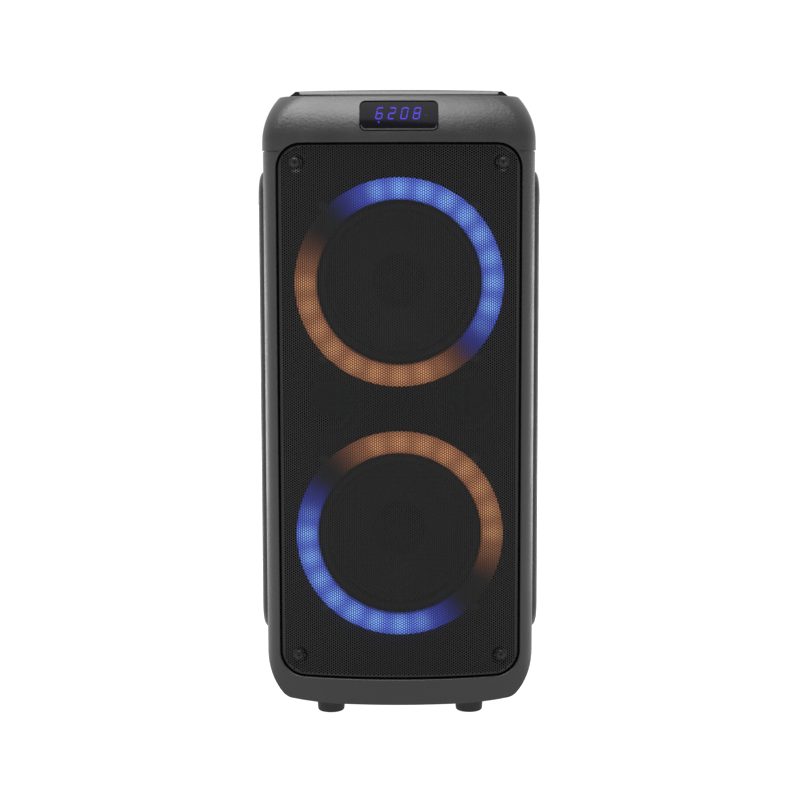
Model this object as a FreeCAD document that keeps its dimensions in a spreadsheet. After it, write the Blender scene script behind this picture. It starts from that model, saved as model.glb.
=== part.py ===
import FreeCAD, Part

import math
import os

import Sketcher

# A tower party speaker with two 8 inch woofers behind one bowed grille.
# Millimetres. The front faces -Y, +X is to the right of someone who looks at the front, and the
# rubber feet stand on z = 0. The origin is under the middle of the speaker.

V = FreeCAD.Vector

DRIVING = {
    # outer shells
    "shell_half_width": 140.2,
    "shell_front": 135.0,
    "shell_rear": 135.0,
    "shell_bottom": 13.8,
    "shell_split": 60.0,
    "wall": 3.2,
    "bow_radius": 385.0,
    "front_corner": 25.0,
    "rear_corner": 30.0,
    "base_curve": 65.0,
    "base_curve_start": 66.0,
    "foot_curve": 460.0,
    "foot_curve_start": 60.0,
    "base_corner": 16.0,
    "seam_height": 588.0,
    "groove": 1.2,
    "opening_edge": 0.9,
    "cap_proud": 0.7,
    "cap_top": 643.5,
    "shoulder_radius": 76.3,
    "shoulder_start": 595.6,
    "front_lean": 1.35,
    "lip_radius": 5.0,
    # grille and its opening
    "opening_half_width": 125.9,
    "opening_bottom": 40.5,
    "opening_top": 596.0,
    "opening_corner": 26.0,
    "collar": 3.0,
    "grille_gap": 2.4,
    "grille_recess": 2.5,
    "grille_sheet": 1.0,
    "grille_rim": 5.0,
    "dish_radius": 11.0,
    "dish_depth": 4.0,
    "dish_floor": 115.2,
    "dish_floor_radius": 5.6,
    "grille_screw_side": 106.0,
    "grille_screw_low": 62.7,
    "grille_screw_high": 576.0,
    # baffle
    "baffle_front": 106.0,
    "baffle_thickness": 12.0,
    "baffle_half_width": 129.5,
    "baffle_bottom": 33.0,
    "baffle_top": 600.0,
    # woofers and lights
    "woofer_high": 453.4,
    "woofer_low": 191.4,
    "woofer_hole": 88.0,
    "flange_radius": 104.0,
    "flange_thickness": 2.5,
    "ring_outer": 107.5,
    "ring_inner": 84.8,
    "ring_base": 3.3,
    "ring_front": 8.0,
    "ring_screw_circle": 111.0,
    "led_count": 24,
    "cone_outer": 70.5,
    "coil_radius": 19.2,
    "magnet_radius": 60.0,
    # ports
    "port_side": 74.0,
    "port_height": 324.0,
    "port_bore": 25.0,
    "port_mouth": 36.0,
    "port_flare": 10.0,
    "port_length": 110.0,
    # display
    "window_half_width": 40.0,
    "window_bottom": 607.0,
    "window_top": 638.0,
    "window_corner": 6.0,
    # top deck and handle
    "deck_half_width": 108.0,
    "deck_front": 88.0,
    "deck_rear": 96.0,
    "deck_floor": 629.0,
    "deck_plate": 3.0,
    "scoop_half_width": 100.0,
    "scoop_front": 18.0,
    "scoop_rear": 62.0,
    "scoop_floor": 603.0,
    "handle_top": 654.5,
    "handle_half_width": 107.0,
    "handle_front": 4.0,
    "handle_rear": 36.0,
    "handle_crown": 1.5,
    "control_row": 55.0,
    "button_radius": 7.0,
    "button_top": 631.5,
    "button_flange_top": 625.7,
    "knob_radius": 17.0,
    "knob_top": 641.0,
    "spindle_radius": 3.0,
    "board_top": 613.6,
    # sides
    "panel_proud": 7.4,
    "panel_bottom": 76.0,
    "panel_top": 568.0,
    "panel_front": 70.0,
    "panel_rear": 100.0,
    # rear input panel
    "panel_face": 133.4,
    "inlet_half_width": 60.0,
    "inlet_bottom": 400.0,
    "inlet_top": 520.0,
    "socket_row": 490.0,
    "power_row": 440.0,
    "rocker_pivot": 128.2,
    "rocker_side": 30.0,
    "mains_side": 24.0,
    # feet
    "foot_side": 73.0,
    "foot_depth": 102.0,
    "foot_radius": 15.0,
}

BUTTONS = (
    ("mode_button", -86.0),
    ("previous_button", -62.0),
    ("play_button", -38.0),
    ("next_button", 38.0),
    ("light_button", 62.0),
    ("mic_priority_button", 86.0),
)
MIC_JACK_SIDES = (-36.0, -12.0)
LINE_SIDE = 14.0
USB_SIDE = 38.0
DECK_CORNER = 18.0

# screws: shank radii, and where they stand on the back
FOOT_SHANK = 2.0
REAR_SHANK = 1.6
REAR_SCREW_SINK = 1.8
REAR_SCREWS = [(side * 112.0, z) for side in (-1, 1) for z in (70.0, 300.0, 560.0)]
PANEL_SCREWS = [(x, z) for x in (-54.0, 54.0) for z in (406.0, 514.0)]

# how far a face may miss another and still count as touching it
TOUCH = 1e-4

FRONT = FreeCAD.Rotation(V(1, 0, 0), 90)
REAR = FreeCAD.Rotation(V(1, 0, 0), -90)
UPRIGHT = FreeCAD.Rotation()

doc = FreeCAD.newDocument("party_speaker")
sheet = doc.addObject("Spreadsheet::Sheet", "Sizes")
nodes = []


class Size:
    """A length that also carries the spreadsheet formula it comes from."""

    def __init__(self, number, formula):
        self.number = float(number)
        self.formula = formula

    def joined(self, sign, other, number):
        return Size(number, f"({self.formula} {sign} {other.formula})")

    def __add__(self, other):
        other = as_size(other)
        return self.joined("+", other, self.number + other.number)

    def __sub__(self, other):
        other = as_size(other)
        return self.joined("-", other, self.number - other.number)

    def __mul__(self, other):
        other = as_size(other)
        return self.joined("*", other, self.number * other.number)

    def __truediv__(self, other):
        other = as_size(other)
        return self.joined("/", other, self.number / other.number)

    def __neg__(self):
        return Size(-self.number, f"(0 - {self.formula})")

    def __radd__(self, other):
        return as_size(other) + self

    def __rsub__(self, other):
        return as_size(other) - self

    def __rmul__(self, other):
        return as_size(other) * self


def as_size(thing):
    """A plain number as a Size."""
    if isinstance(thing, Size):
        return thing
    if thing < 0:
        return Size(thing, f"(0 - {-float(thing)})")
    return Size(thing, str(float(thing)))


def number(thing):
    """The plain number in a Size or a number."""
    return thing.number if isinstance(thing, Size) else float(thing)


class Sheet:
    """The driving dimensions, each read from its spreadsheet cell as a Size."""

    def __init__(self, driving):
        for row, (alias, cell_value) in enumerate(driving.items(), start=1):
            sheet.set(f"A{row}", alias)
            sheet.set(f"B{row}", str(cell_value))
            sheet.setAlias(f"B{row}", alias)
        doc.recompute()
        for alias in driving:
            setattr(self, alias, Size(sheet.get(alias), f"Sizes.{alias}"))


d = Sheet(DRIVING)


# Tools for building features


def bind(thing, prop, size):
    """Tie a property to the sheet."""
    if isinstance(size, Size):
        thing.setExpression(prop, size.formula)


def set_size(thing, prop, size):
    setattr(thing, prop, number(size))
    bind(thing, prop, size)


def place(thing, x=0, y=0, z=0, turn=UPRIGHT):
    """Put an object at x, y, z, each tied to the sheet where it is a Size."""
    thing.Placement = FreeCAD.Placement(V(number(x), number(y), number(z)), turn)
    for axis, size in (("x", x), ("y", y), ("z", z)):
        bind(thing, f"Placement.Base.{axis}", size)
    return thing


def keep(thing, label):
    """Name a finished sub-part and mark it to be written."""
    thing.Label = label
    nodes.append(thing)
    return thing


def new_body(label):
    body = doc.addObject("PartDesign::Body", label)
    body.Label = label
    return body


def sketch_on(body, role, lift=0):
    """A sketch on one of the body's origin planes, lifted along that plane's normal."""
    sketch = body.newObject("Sketcher::SketchObject", "Sketch")
    plane = next(item for item in body.Origin.OriginFeatures if item.Role == role)
    sketch.AttachmentSupport = [(plane, "")]
    sketch.MapMode = "FlatFace"
    sketch.AttachmentOffset = FreeCAD.Placement(V(0, 0, number(lift)), UPRIGHT)
    bind(sketch, "AttachmentOffset.Base.z", lift)
    return sketch


def arc_between(start, end, radius, side):
    """The minor arc from start to end, its centre on the left (1) or right (-1) of the chord."""
    chord = end - start
    normal = V(-chord.y, chord.x, 0).normalize() * side
    half = chord.Length / 2
    rise = math.sqrt(max(radius * radius - half * half, 0))
    middle = (start + end) / 2 + normal * (rise - radius)
    return Part.Arc(start, middle, end)


def end_at(sketch, edge, point):
    """Which end of an edge lies at a point."""
    return 1 if sketch.getPoint(edge, 1).distanceToPoint(point) < 1e-6 else 2


def add_limit(sketch, kind, size, *where):
    """A dimension in a sketch, tied to the sheet."""
    index = sketch.addConstraint(Sketcher.Constraint(kind, *where, number(size)))
    bind(sketch, f"Constraints[{index}]", size)


def add_loop(sketch, corners):
    """A closed loop. A corner is (u, v), or (u, v, radius, side) where an arc leaves it."""
    points = [V(number(corner[0]), number(corner[1]), 0) for corner in corners]
    first = sketch.GeometryCount
    count = len(corners)
    for i, corner in enumerate(corners):
        start, end = points[i], points[(i + 1) % count]
        if len(corner) == 4:
            edge = arc_between(start, end, number(corner[2]), corner[3])
        else:
            edge = Part.LineSegment(start, end)
        sketch.addGeometry(edge, False)
    for i, corner in enumerate(corners):
        here, before = first + i, first + (i - 1) % count
        start_end = end_at(sketch, here, points[i])
        last_end = end_at(sketch, before, points[i])
        join = Sketcher.Constraint("Coincident", before, last_end, here, start_end)
        sketch.addConstraint(join)
        add_limit(sketch, "DistanceX", corner[0], -1, 1, here, start_end)
        add_limit(sketch, "DistanceY", corner[1], -1, 1, here, start_end)
        if len(corner) == 4:
            add_limit(sketch, "Radius", corner[2], here)


def add_circle(sketch, u, v, radius):
    centre = V(number(u), number(v), 0)
    circle = Part.Circle(centre, V(0, 0, 1), number(radius))
    edge = sketch.addGeometry(circle, False)
    add_limit(sketch, "DistanceX", u, -1, 1, edge, 3)
    add_limit(sketch, "DistanceY", v, -1, 1, edge, 3)
    add_limit(sketch, "Radius", radius, edge)


def rounded(left, bottom, right, top, radius):
    """The corners of a rounded rectangle, for add_loop."""
    return [
        (left + radius, bottom),
        (right - radius, bottom, radius, 1),
        (right, bottom + radius),
        (right, top - radius, radius, 1),
        (right - radius, top),
        (left + radius, top, radius, 1),
        (left, top - radius),
        (left, bottom + radius, radius, 1),
    ]


def rectangle(left, bottom, right, top):
    return [(left, bottom), (right, bottom), (right, top), (left, top)]


def pad(body, sketch, length):
    feature = body.newObject("PartDesign::Pad", "Pad")
    feature.Profile = sketch
    set_size(feature, "Length", length)
    sketch.Visibility = False
    return feature


def pocket(body, sketch, length, reverse=False):
    """Cut a sketch's shape away, against the sketch's normal unless it is reversed."""
    doc.recompute()
    before = body.Shape.Volume
    feature = body.newObject("PartDesign::Pocket", "Pocket")
    feature.Profile = sketch
    feature.Reversed = reverse
    set_size(feature, "Length", length)
    doc.recompute()
    if before - body.Shape.Volume < 0.5:
        raise RuntimeError(f"a pocket in {body.Label} cut nothing")
    return feature


def turned(label, *loops):
    """A body turned about its own Z axis, from loops of (radius, height)."""
    body = new_body(label)
    sketch = sketch_on(body, "XZ_Plane")
    for loop in loops:
        add_loop(sketch, loop)
    spin = body.newObject("PartDesign::Revolution", "Turn")
    spin.Profile = sketch
    spin.ReferenceAxis = (sketch, ["V_Axis"])
    spin.Angle = 360
    return body


def cylinder(radius, length, x, y, z, turn=UPRIGHT):
    """A round bar along its own Z axis, from the point x, y, z."""
    bar = doc.addObject("Part::Cylinder", "Bar")
    set_size(bar, "Radius", radius)
    set_size(bar, "Height", length)
    return place(bar, x, y, z, turn)


def block(low, high):
    """A box between two corners."""
    box = doc.addObject("Part::Box", "Block")
    for prop, a, b in zip(("Length", "Width", "Height"), low, high):
        set_size(box, prop, b - a)
    return place(box, *low)


def cut(base, tool):
    result = doc.addObject("Part::Cut", "Cut")
    result.Base, result.Tool = base, tool
    return result


def fuse(pieces):
    result = doc.addObject("Part::MultiFuse", "Fuse")
    result.Shapes = pieces
    return result


def group(pieces):
    result = doc.addObject("Part::Compound", "Group")
    result.Links = pieces
    return result


def dome_radius(reach, rise):
    """The radius of a dome that is centred on its axis and falls by rise at reach."""
    return (reach**2 + rise**2) / (2 * rise)


def screw(x, y, z, turn, head, head_height, shank, shank_length):
    """A screw at its seat: the head stands out along the turned Z axis and the shank goes in."""
    out = turn.multVec(V(0, 0, 1))
    tip = [a - out[i] * shank_length for i, a in enumerate((x, y, z))]
    return fuse([
        cylinder(head, head_height, x, y, z, turn),
        cylinder(shank, shank_length, *tip, turn),
    ])


# Outer form, shared by the shells, the grille and the window


def section(z, half_width, front, rear, corner, rear_corner):
    """The outline at one height: bowed front, rounded corners and straight sides and back."""
    bow = d.bow_radius.number
    bow_y = bow - front
    reach = bow - corner
    side = half_width - corner
    drop = math.sqrt(reach**2 - side**2)
    corner_y = bow_y - drop
    joint = (side * bow / reach, bow_y - drop * bow / reach)
    lean = V(side / reach + 1, -drop / reach, 0).normalize()
    turn = (side + corner * lean.x, corner_y + corner * lean.y)
    back = half_width - rear_corner
    back_y = rear - rear_corner
    slant = rear_corner * math.sqrt(0.5)
    right = [
        joint,
        turn,
        (half_width, corner_y),
        (half_width, back_y),
        (back + slant, back_y + slant),
        (back, rear),
    ]
    r = [V(x, y, z) for x, y in right]
    m = [V(-x, y, z) for x, y in right]
    edges = [
        Part.Arc(m[0], V(0, -front, z), r[0]),
        Part.Arc(r[0], r[1], r[2]),
        Part.LineSegment(r[2], r[3]),
        Part.Arc(r[3], r[4], r[5]),
        Part.LineSegment(r[5], m[5]),
        Part.Arc(m[5], m[4], m[3]),
        Part.LineSegment(m[3], m[2]),
        Part.Arc(m[2], m[1], m[0]),
    ]
    return Part.Wire([edge.toShape() for edge in edges])


def body_section(z, inset):
    return section(
        z,
        d.shell_half_width.number - inset,
        d.shell_front.number - inset,
        d.shell_rear.number - inset,
        d.front_corner.number - inset,
        d.rear_corner.number - inset,
    )


def silhouette(inset):
    """The front outline of the shells: straight sides, a round base corner and a slow foot."""
    wide = d.shell_half_width.number - inset
    low = d.shell_bottom.number + inset
    side_radius = d.base_curve.number - inset
    foot_radius = d.foot_curve.number - inset
    corner = d.base_corner.number - inset
    side_centre = V(wide - side_radius, 0, d.base_curve_start.number)
    foot_centre = V(d.foot_curve_start.number, 0, low + foot_radius)
    span = foot_centre - side_centre
    side_reach, foot_reach = side_radius - corner, foot_radius - corner
    along = (side_reach**2 - foot_reach**2 + span.Length**2) / (2 * span.Length)
    aside = math.sqrt(side_reach**2 - along**2)
    forward = span / span.Length
    across = V(forward.z, 0, -forward.x)
    corner_centre = side_centre + forward * along + across * aside

    def on_circle(centre, towards, radius):
        return centre + (towards - centre).normalize() * radius

    start = V(wide, 0, side_centre.z)
    first = on_circle(side_centre, corner_centre, side_radius)
    last = on_circle(foot_centre, corner_centre, foot_radius)
    foot = V(foot_centre.x, 0, low)
    points = [
        start,
        on_circle(side_centre, (start + first) / 2, side_radius),
        first,
        on_circle(corner_centre, (first + last) / 2, corner),
        last,
        on_circle(foot_centre, (last + foot) / 2, foot_radius),
        foot,
    ]
    left = [V(-p.x, 0, p.z) for p in points]
    top = d.seam_height.number + 1
    edges = [
        Part.LineSegment(V(-wide, 0, top), V(wide, 0, top)),
        Part.LineSegment(V(wide, 0, top), points[0]),
        Part.Arc(*points[0:3]),
        Part.Arc(*points[2:5]),
        Part.Arc(*points[4:7]),
        Part.LineSegment(points[6], left[6]),
        Part.Arc(*reversed(left[4:7])),
        Part.Arc(*reversed(left[2:5])),
        Part.Arc(*reversed(left[0:3])),
        Part.LineSegment(left[0], V(-wide, 0, top)),
    ]
    wire = Part.Wire([edge.toShape() for edge in edges])
    depth = 4 * d.shell_front.number
    face = Part.Face(wire)
    face.translate(V(0, -depth / 2, 0))
    return face.extrude(V(0, depth, 0))


def body_form(inset):
    """The solid form of the lower shells, moved inwards by inset."""
    low = d.shell_bottom.number
    tall = d.seam_height.number - low
    prism = Part.Face(body_section(low, inset)).extrude(V(0, 0, tall))
    return prism.common([silhouette(inset)], TOUCH)


def cap_lean(z):
    """How far the crown has turned inwards at a height."""
    rise = max(z - d.shoulder_start.number, 0)
    radius = d.shoulder_radius.number
    return radius - math.sqrt(radius**2 - rise**2)


def cap_form(inset):
    """The solid form of the crown, moved inwards by inset."""
    seam, top = d.seam_height.number, d.cap_top.number
    proud = d.cap_proud.number
    sections = []
    for share in (0, 0.12, 0.28, 0.44, 0.58, 0.71, 0.83, 0.92, 1):
        z = seam + share * (top - seam)
        lean = cap_lean(z)
        sections.append(section(
            z - inset * share,
            d.shell_half_width.number + proud - lean - inset,
            d.shell_front.number + proud - lean * d.front_lean.number - inset,
            d.shell_rear.number + proud - lean - inset,
            d.front_corner.number + 0.9 * lean - 0.8 * inset,
            d.rear_corner.number + 0.9 * lean - 0.8 * inset,
        ))
    form = Part.makeLoft(sections, True, False)
    level = max(vertex.Z for vertex in form.Vertexes)
    rim = [e for e in form.Edges if all(v.Z > level - 1e-3 for v in e.Vertexes)]
    lip = d.lip_radius.number
    return form.makeFillet(lip, rim)


def front_plate(left, bottom, right, top, radius, near, far):
    """A rounded rectangle seen from the front, as a solid from y = near to y = far."""
    solid = slab((left, near, bottom), (right, far, top))
    depth = [e for e in solid.Edges if abs(e.tangentAt(e.FirstParameter).y) > 0.99]
    return solid.makeFillet(radius, depth)


def opening(grow, near, far):
    """The grille's opening, grown outwards, as a cutting solid."""
    return front_plate(
        -d.opening_half_width.number - grow,
        d.opening_bottom.number - grow,
        d.opening_half_width.number + grow,
        d.opening_top.number + grow,
        d.opening_corner.number + grow,
        near,
        far,
    )


def slab(low, high):
    """A plain box between two corners, as a shape."""
    return Part.makeBox(*(b - a for a, b in zip(low, high)), V(*low))


def add_shape(shape, label):
    """A sub-part whose curved form no parametric feature here can carry."""
    thing = doc.addObject("Part::Feature", label)
    thing.Shape = shape
    thing.Placement = FreeCAD.Placement()
    return keep(thing, label)


# Outer shells


def opening_collar(form):
    """The short tunnel that runs from the front face back to the baffle."""
    near, far = -2 * d.shell_front.number, -d.baffle_front.number
    ring = opening(d.collar.number, near, far).cut(opening(0, near - 1, far + 1))
    return ring.common(form)


def opening_edges(shell):
    """The front edges of the opening, where its walls meet the bowed face."""
    wide, corner = d.opening_half_width.number, d.opening_corner.number
    low = d.opening_bottom.number
    edges = []
    for edge in shell.Edges:
        middle = edge.valueAt((edge.FirstParameter + edge.LastParameter) / 2)
        off_x = max(abs(middle.x) - wide + corner, 0)
        off_z = max(low + corner - middle.z, 0)
        on_wall = abs(math.hypot(off_x, off_z) - corner) < 0.05
        across = abs(edge.tangentAt(edge.FirstParameter).y) < 0.9
        if on_wall and across and middle.y < -d.baffle_front.number - 3:
            edges.append(edge)
    return edges


def make_shells():
    far = 2 * d.shell_front.number
    top = d.seam_height.number
    split = -d.shell_split.number
    form = body_form(0)
    skin = form.cut(body_form(d.wall.number))
    skin = skin.cut(slab((-far, -far, top - 0.01), (far, far, top + 9)))
    groove = d.groove.number
    edge_band = body_form(-1).cut(body_form(groove))
    seam = edge_band.common(slab((-far, -far, top - groove), (far, far, top + 1)))
    joint = edge_band.common(slab((-far, split, 0), (far, split + groove, top + 1)))
    skin = skin.cut(seam).cut(joint)
    hole = opening(0, -far, -d.baffle_front.number)
    front = skin.common(slab((-far, -far, 0), (far, split, top)))
    front = front.cut(hole).fuse(opening_collar(form)).removeSplitter()
    front = front.makeFillet(d.opening_edge.number, opening_edges(front))
    rear = skin.common(slab((-far, split, 0), (far, far, top)))
    window = slab(
        (-d.inlet_half_width.number, 100, d.inlet_bottom.number),
        (d.inlet_half_width.number, far, d.inlet_top.number),
    )
    rear = rear.cut(window)
    for shape, label in ((front, "front_frame"), (rear, "rear_shell")):
        for x, y, z, axis, radius, length in screw_holes(label):
            tool = Part.makeCylinder(radius, length, V(x, y, z), axis)
            shape = shape.cut(tool)
        add_shape(shape, label)


def screw_holes(label):
    """Holes in a shell: under the feet, and recessed ones in the back."""
    depth = d.foot_depth.number
    y = -depth if label == "front_frame" else depth
    holes = [
        (side * d.foot_side.number, y, 0, V(0, 0, 1), FOOT_SHANK, 30)
        for side in (-1, 1)
    ]
    if label == "rear_shell":
        rear = d.shell_rear.number
        for x, z in REAR_SCREWS:
            holes.append((x, rear - REAR_SCREW_SINK, z, V(0, 1, 0), 3.9, 9))
            holes.append((x, rear - 9, z, V(0, 1, 0), REAR_SHANK, 9))
    return holes


def make_top_cap():
    form = cap_form(0)
    far = 2 * d.shell_front.number
    wall = d.wall.number
    deck = block_rounded(0, d.cap_top.number - 12, d.cap_top.number + 9)
    shape = form.cut(cap_form(wall)).cut(deck)
    shape = shape.cut(opening(0, -far, -d.baffle_front.number))
    collar = opening_collar(form)
    shape = shape.fuse(collar).cut(window_tool(0, 0)).removeSplitter()
    add_shape(shape, "top_cap")


def block_rounded(grow, low, high):
    """The deck's opening as a cutting solid, grown outwards."""
    x = d.deck_half_width.number + grow
    front, rear = -d.deck_front.number - grow, d.deck_rear.number + grow
    solid = slab((-x, front, low), (x, rear, high))
    upright = [e for e in solid.Edges if abs(e.tangentAt(e.FirstParameter).z) > 0.99]
    return solid.makeFillet(DECK_CORNER + grow, upright)


def window_tool(shrink, far):
    return front_plate(
        -d.window_half_width.number + shrink,
        d.window_bottom.number + shrink,
        d.window_half_width.number - shrink,
        d.window_top.number - shrink,
        d.window_corner.number - shrink,
        -2 * d.shell_front.number,
        -d.deck_front.number - 4 + far,
    )


def make_display():
    plate = cap_form(0.8).cut(cap_form(2.8)).common(window_tool(0.1, 0))
    add_shape(plate, "display_window")
    module = block((-30.0, -4.0, -11.0), (30.0, 5.0, 11.0))
    tilt = FreeCAD.Rotation(V(1, 0, 0), -28)
    centre = (d.window_bottom + d.window_top) / 2
    carrier = fuse([module, cylinder(3, 6, -22, 5, 0, REAR), cylinder(3, 6, 22, 5, 0, REAR)])
    keep(place(carrier, 0, -d.shell_front + 21, centre, tilt), "display_module")


def make_side_panels():
    """A pillow-edged panel on each side, drawn as a loft of four rounded outlines."""
    steps = (
        (0, 0.0, 26.0),
        (d.panel_proud * 0.55, 2.0, 25.0),
        (d.panel_proud * 0.88, 7.0, 22.0),
        (d.panel_proud, 17.0, 16.0),
    )
    for side, label in ((-1, "side_panel_left"), (1, "side_panel_right")):
        body = new_body(label)
        sketches = []
        for out, inset, radius in steps:
            lift = (d.shell_half_width + out) * side
            sketch = sketch_on(body, "YZ_Plane", lift)
            along = inset * 0.7
            add_loop(sketch, rounded(
                -d.panel_front + along,
                d.panel_bottom + inset,
                d.panel_rear - along,
                d.panel_top - inset,
                radius,
            ))
            sketches.append(sketch)
        loft = body.newObject("PartDesign::AdditiveLoft", "Loft")
        loft.Profile = sketches[0]
        loft.Sections = sketches[1:]
        loft.Ruled = False
        keep(body, label)


# Grille


def make_grille():
    """A bowed sheet with a turned rim and a dished seat at each corner screw."""
    recess = d.grille_recess.number
    outer = d.bow_radius.number - recess
    sheet_in = outer - d.grille_sheet.number
    rim_in = outer - d.grille_rim.number
    axis_y = d.bow_radius.number - d.shell_front.number
    low, tall = d.opening_bottom.number - 1, d.opening_top.number

    def drum(radius):
        return Part.makeCylinder(radius, tall, V(0, axis_y, low))

    gap = d.grille_gap.number
    far = -d.baffle_front.number + 1
    near = -2 * d.shell_front.number
    outline = opening(-gap, near, far)
    inside = opening(-gap - d.grille_sheet.number, near, far)
    shape = drum(outer).cut(drum(sheet_in)).common(outline)
    rim = drum(outer).cut(drum(rim_in)).common(outline.cut(inside))
    shape = shape.fuse(rim)
    floor = -d.dish_floor.number
    wide, narrow = d.dish_radius.number, d.dish_floor_radius.number
    tall_dish = 9.0
    spread = (wide - narrow) * tall_dish / d.dish_depth.number
    for x, z in grille_screws():
        hollow = Part.makeCone(narrow, narrow + spread, tall_dish, V(x, floor, z), V(0, -1, 0))
        dish = Part.makeCone(
            narrow + 1, narrow + 1 + spread, tall_dish, V(x, floor + 1, z), V(0, -1, 0)
        )
        seat = dish.cut(hollow).common(drum(outer)).common(outline)
        hole = Part.makeCylinder(2.2, 4, V(x, floor + 3, z), V(0, -1, 0))
        shape = shape.cut(hollow).fuse(seat).cut(hole)
    add_shape(shape.removeSplitter(), "front_grille")


def grille_screws():
    side = d.grille_screw_side.number
    heights = (d.grille_screw_low.number, d.grille_screw_high.number)
    return [(x, z) for x in (-side, side) for z in heights]


def make_grille_screws():
    screws = []
    for x in (-d.grille_screw_side, d.grille_screw_side):
        for z in (d.grille_screw_low, d.grille_screw_high):
            screws.append(screw(x, -d.dish_floor, z, FRONT, 4.75, 2.6, 2.0, 8.0))
    keep(group(screws), "grille_screws")


# Baffle and everything on it


def make_baffle():
    body = new_body("baffle")
    back = d.baffle_front - d.baffle_thickness
    plate = sketch_on(body, "XZ_Plane", back)
    wide = d.baffle_half_width
    add_loop(plate, rounded(-wide, d.baffle_bottom, wide, d.baffle_top, 28.0))
    for z in (d.woofer_high, d.woofer_low):
        add_circle(plate, 0, z, d.woofer_hole)
        for x, dz in ring_screw_offsets():
            add_circle(plate, x, z + dz, 1.8)
    for side in (-1, 1):
        add_circle(plate, d.port_side * side, d.port_height, d.port_mouth - 0.4)
    pad(body, plate, d.baffle_thickness)
    posts = sketch_on(body, "XZ_Plane", d.baffle_front)
    for x in (-d.grille_screw_side, d.grille_screw_side):
        for z in (d.grille_screw_low, d.grille_screw_high):
            add_circle(posts, x, z, 6.5)
            add_circle(posts, x, z, 2.0)
    pad(body, posts, d.dish_floor - d.baffle_front - 1)
    boss = sketch_on(body, "XZ_Plane", d.baffle_front)
    add_circle(boss, 0, d.port_height, 6.0)
    pad(body, boss, 20.0)
    keep(body, "baffle")


def ring_screw_offsets():
    """The four ring screws sit at 45 degrees on their circle."""
    reach = d.ring_screw_circle * math.sqrt(0.5)
    return [(x, z) for x in (-reach, reach) for z in (-reach, reach)]


def make_light_ring(label, z):
    """A diffuser: a channel open at the back, with four screw ears."""
    body = new_body(label)
    base = sketch_on(body, "XY_Plane", d.ring_base)
    add_circle(base, 0, 0, d.ring_outer)
    add_circle(base, 0, 0, d.ring_inner)
    pad(body, base, d.ring_front - d.ring_base)
    hollow = sketch_on(body, "XY_Plane", d.ring_base)
    add_circle(hollow, 0, 0, d.ring_outer - 1.6)
    add_circle(hollow, 0, 0, d.ring_inner + 1.6)
    pocket(body, hollow, d.ring_front - d.ring_base - 1.6, reverse=True)
    ears = sketch_on(body, "XY_Plane", d.ring_base)
    for x, y in ring_screw_offsets():
        add_circle(ears, x, y, 5.0)
    pad(body, ears, 2.5)
    holes = sketch_on(body, "XY_Plane", d.ring_base)
    for x, y in ring_screw_offsets():
        add_circle(holes, x, y, 1.8)
    pocket(body, holes, 2.5, reverse=True)
    keep(place(body, 0, -d.baffle_front, z, FRONT), label)


def make_led_boards():
    """A ring board behind each diffuser, with its LEDs in one fused piece."""
    boards = []
    for z in (d.woofer_high, d.woofer_low):
        body = new_body("led_board")
        base = sketch_on(body, "XY_Plane", d.ring_base)
        add_circle(base, 0, 0, d.ring_outer - 1.9)
        add_circle(base, 0, 0, d.ring_inner + 1.9)
        pad(body, base, 1.2)
        chip = sketch_on(body, "XY_Plane", d.ring_base + 1.2)
        add_loop(chip, rectangle(93.5, -2.5, 98.5, 2.5))
        lamp = pad(body, chip, 1.2)
        ring = body.newObject("PartDesign::PolarPattern", "Leds")
        ring.Originals = [lamp]
        ring.Axis = (base, ["N_Axis"])
        ring.Angle = 360
        ring.Occurrences = int(d.led_count.number)
        body.Tip = ring
        boards.append(place(body, 0, -d.baffle_front, z, FRONT))
    keep(group(boards), "led_boards")


def make_ring_screws():
    screws = []
    for z in (d.woofer_high, d.woofer_low):
        for x, dz in ring_screw_offsets():
            y = -d.baffle_front - d.ring_base - 2.5
            screws.append(screw(x, y, z + dz, FRONT, 3.1, 1.8, 1.8, 14.0))
    keep(group(screws), "ring_screws")


def make_port(label, side):
    """A flared reflex port, its mouth lip on the baffle and its tube behind."""
    bore, mouth, flare = d.port_bore, d.port_mouth, d.port_flare
    body = turned(label, [
        (bore, -d.port_length),
        (bore, -flare, 12.2, -1),
        (mouth - 1, 2),
        (mouth + 1, 2),
        (mouth + 1, 0),
        (mouth - 0.5, 0),
        (bore + 3, -flare),
        (bore + 3, -d.port_length),
    ])
    keep(place(body, d.port_side * side, -d.baffle_front, d.port_height, FRONT), label)


# Woofers: local z is forward of the baffle's front face


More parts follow.
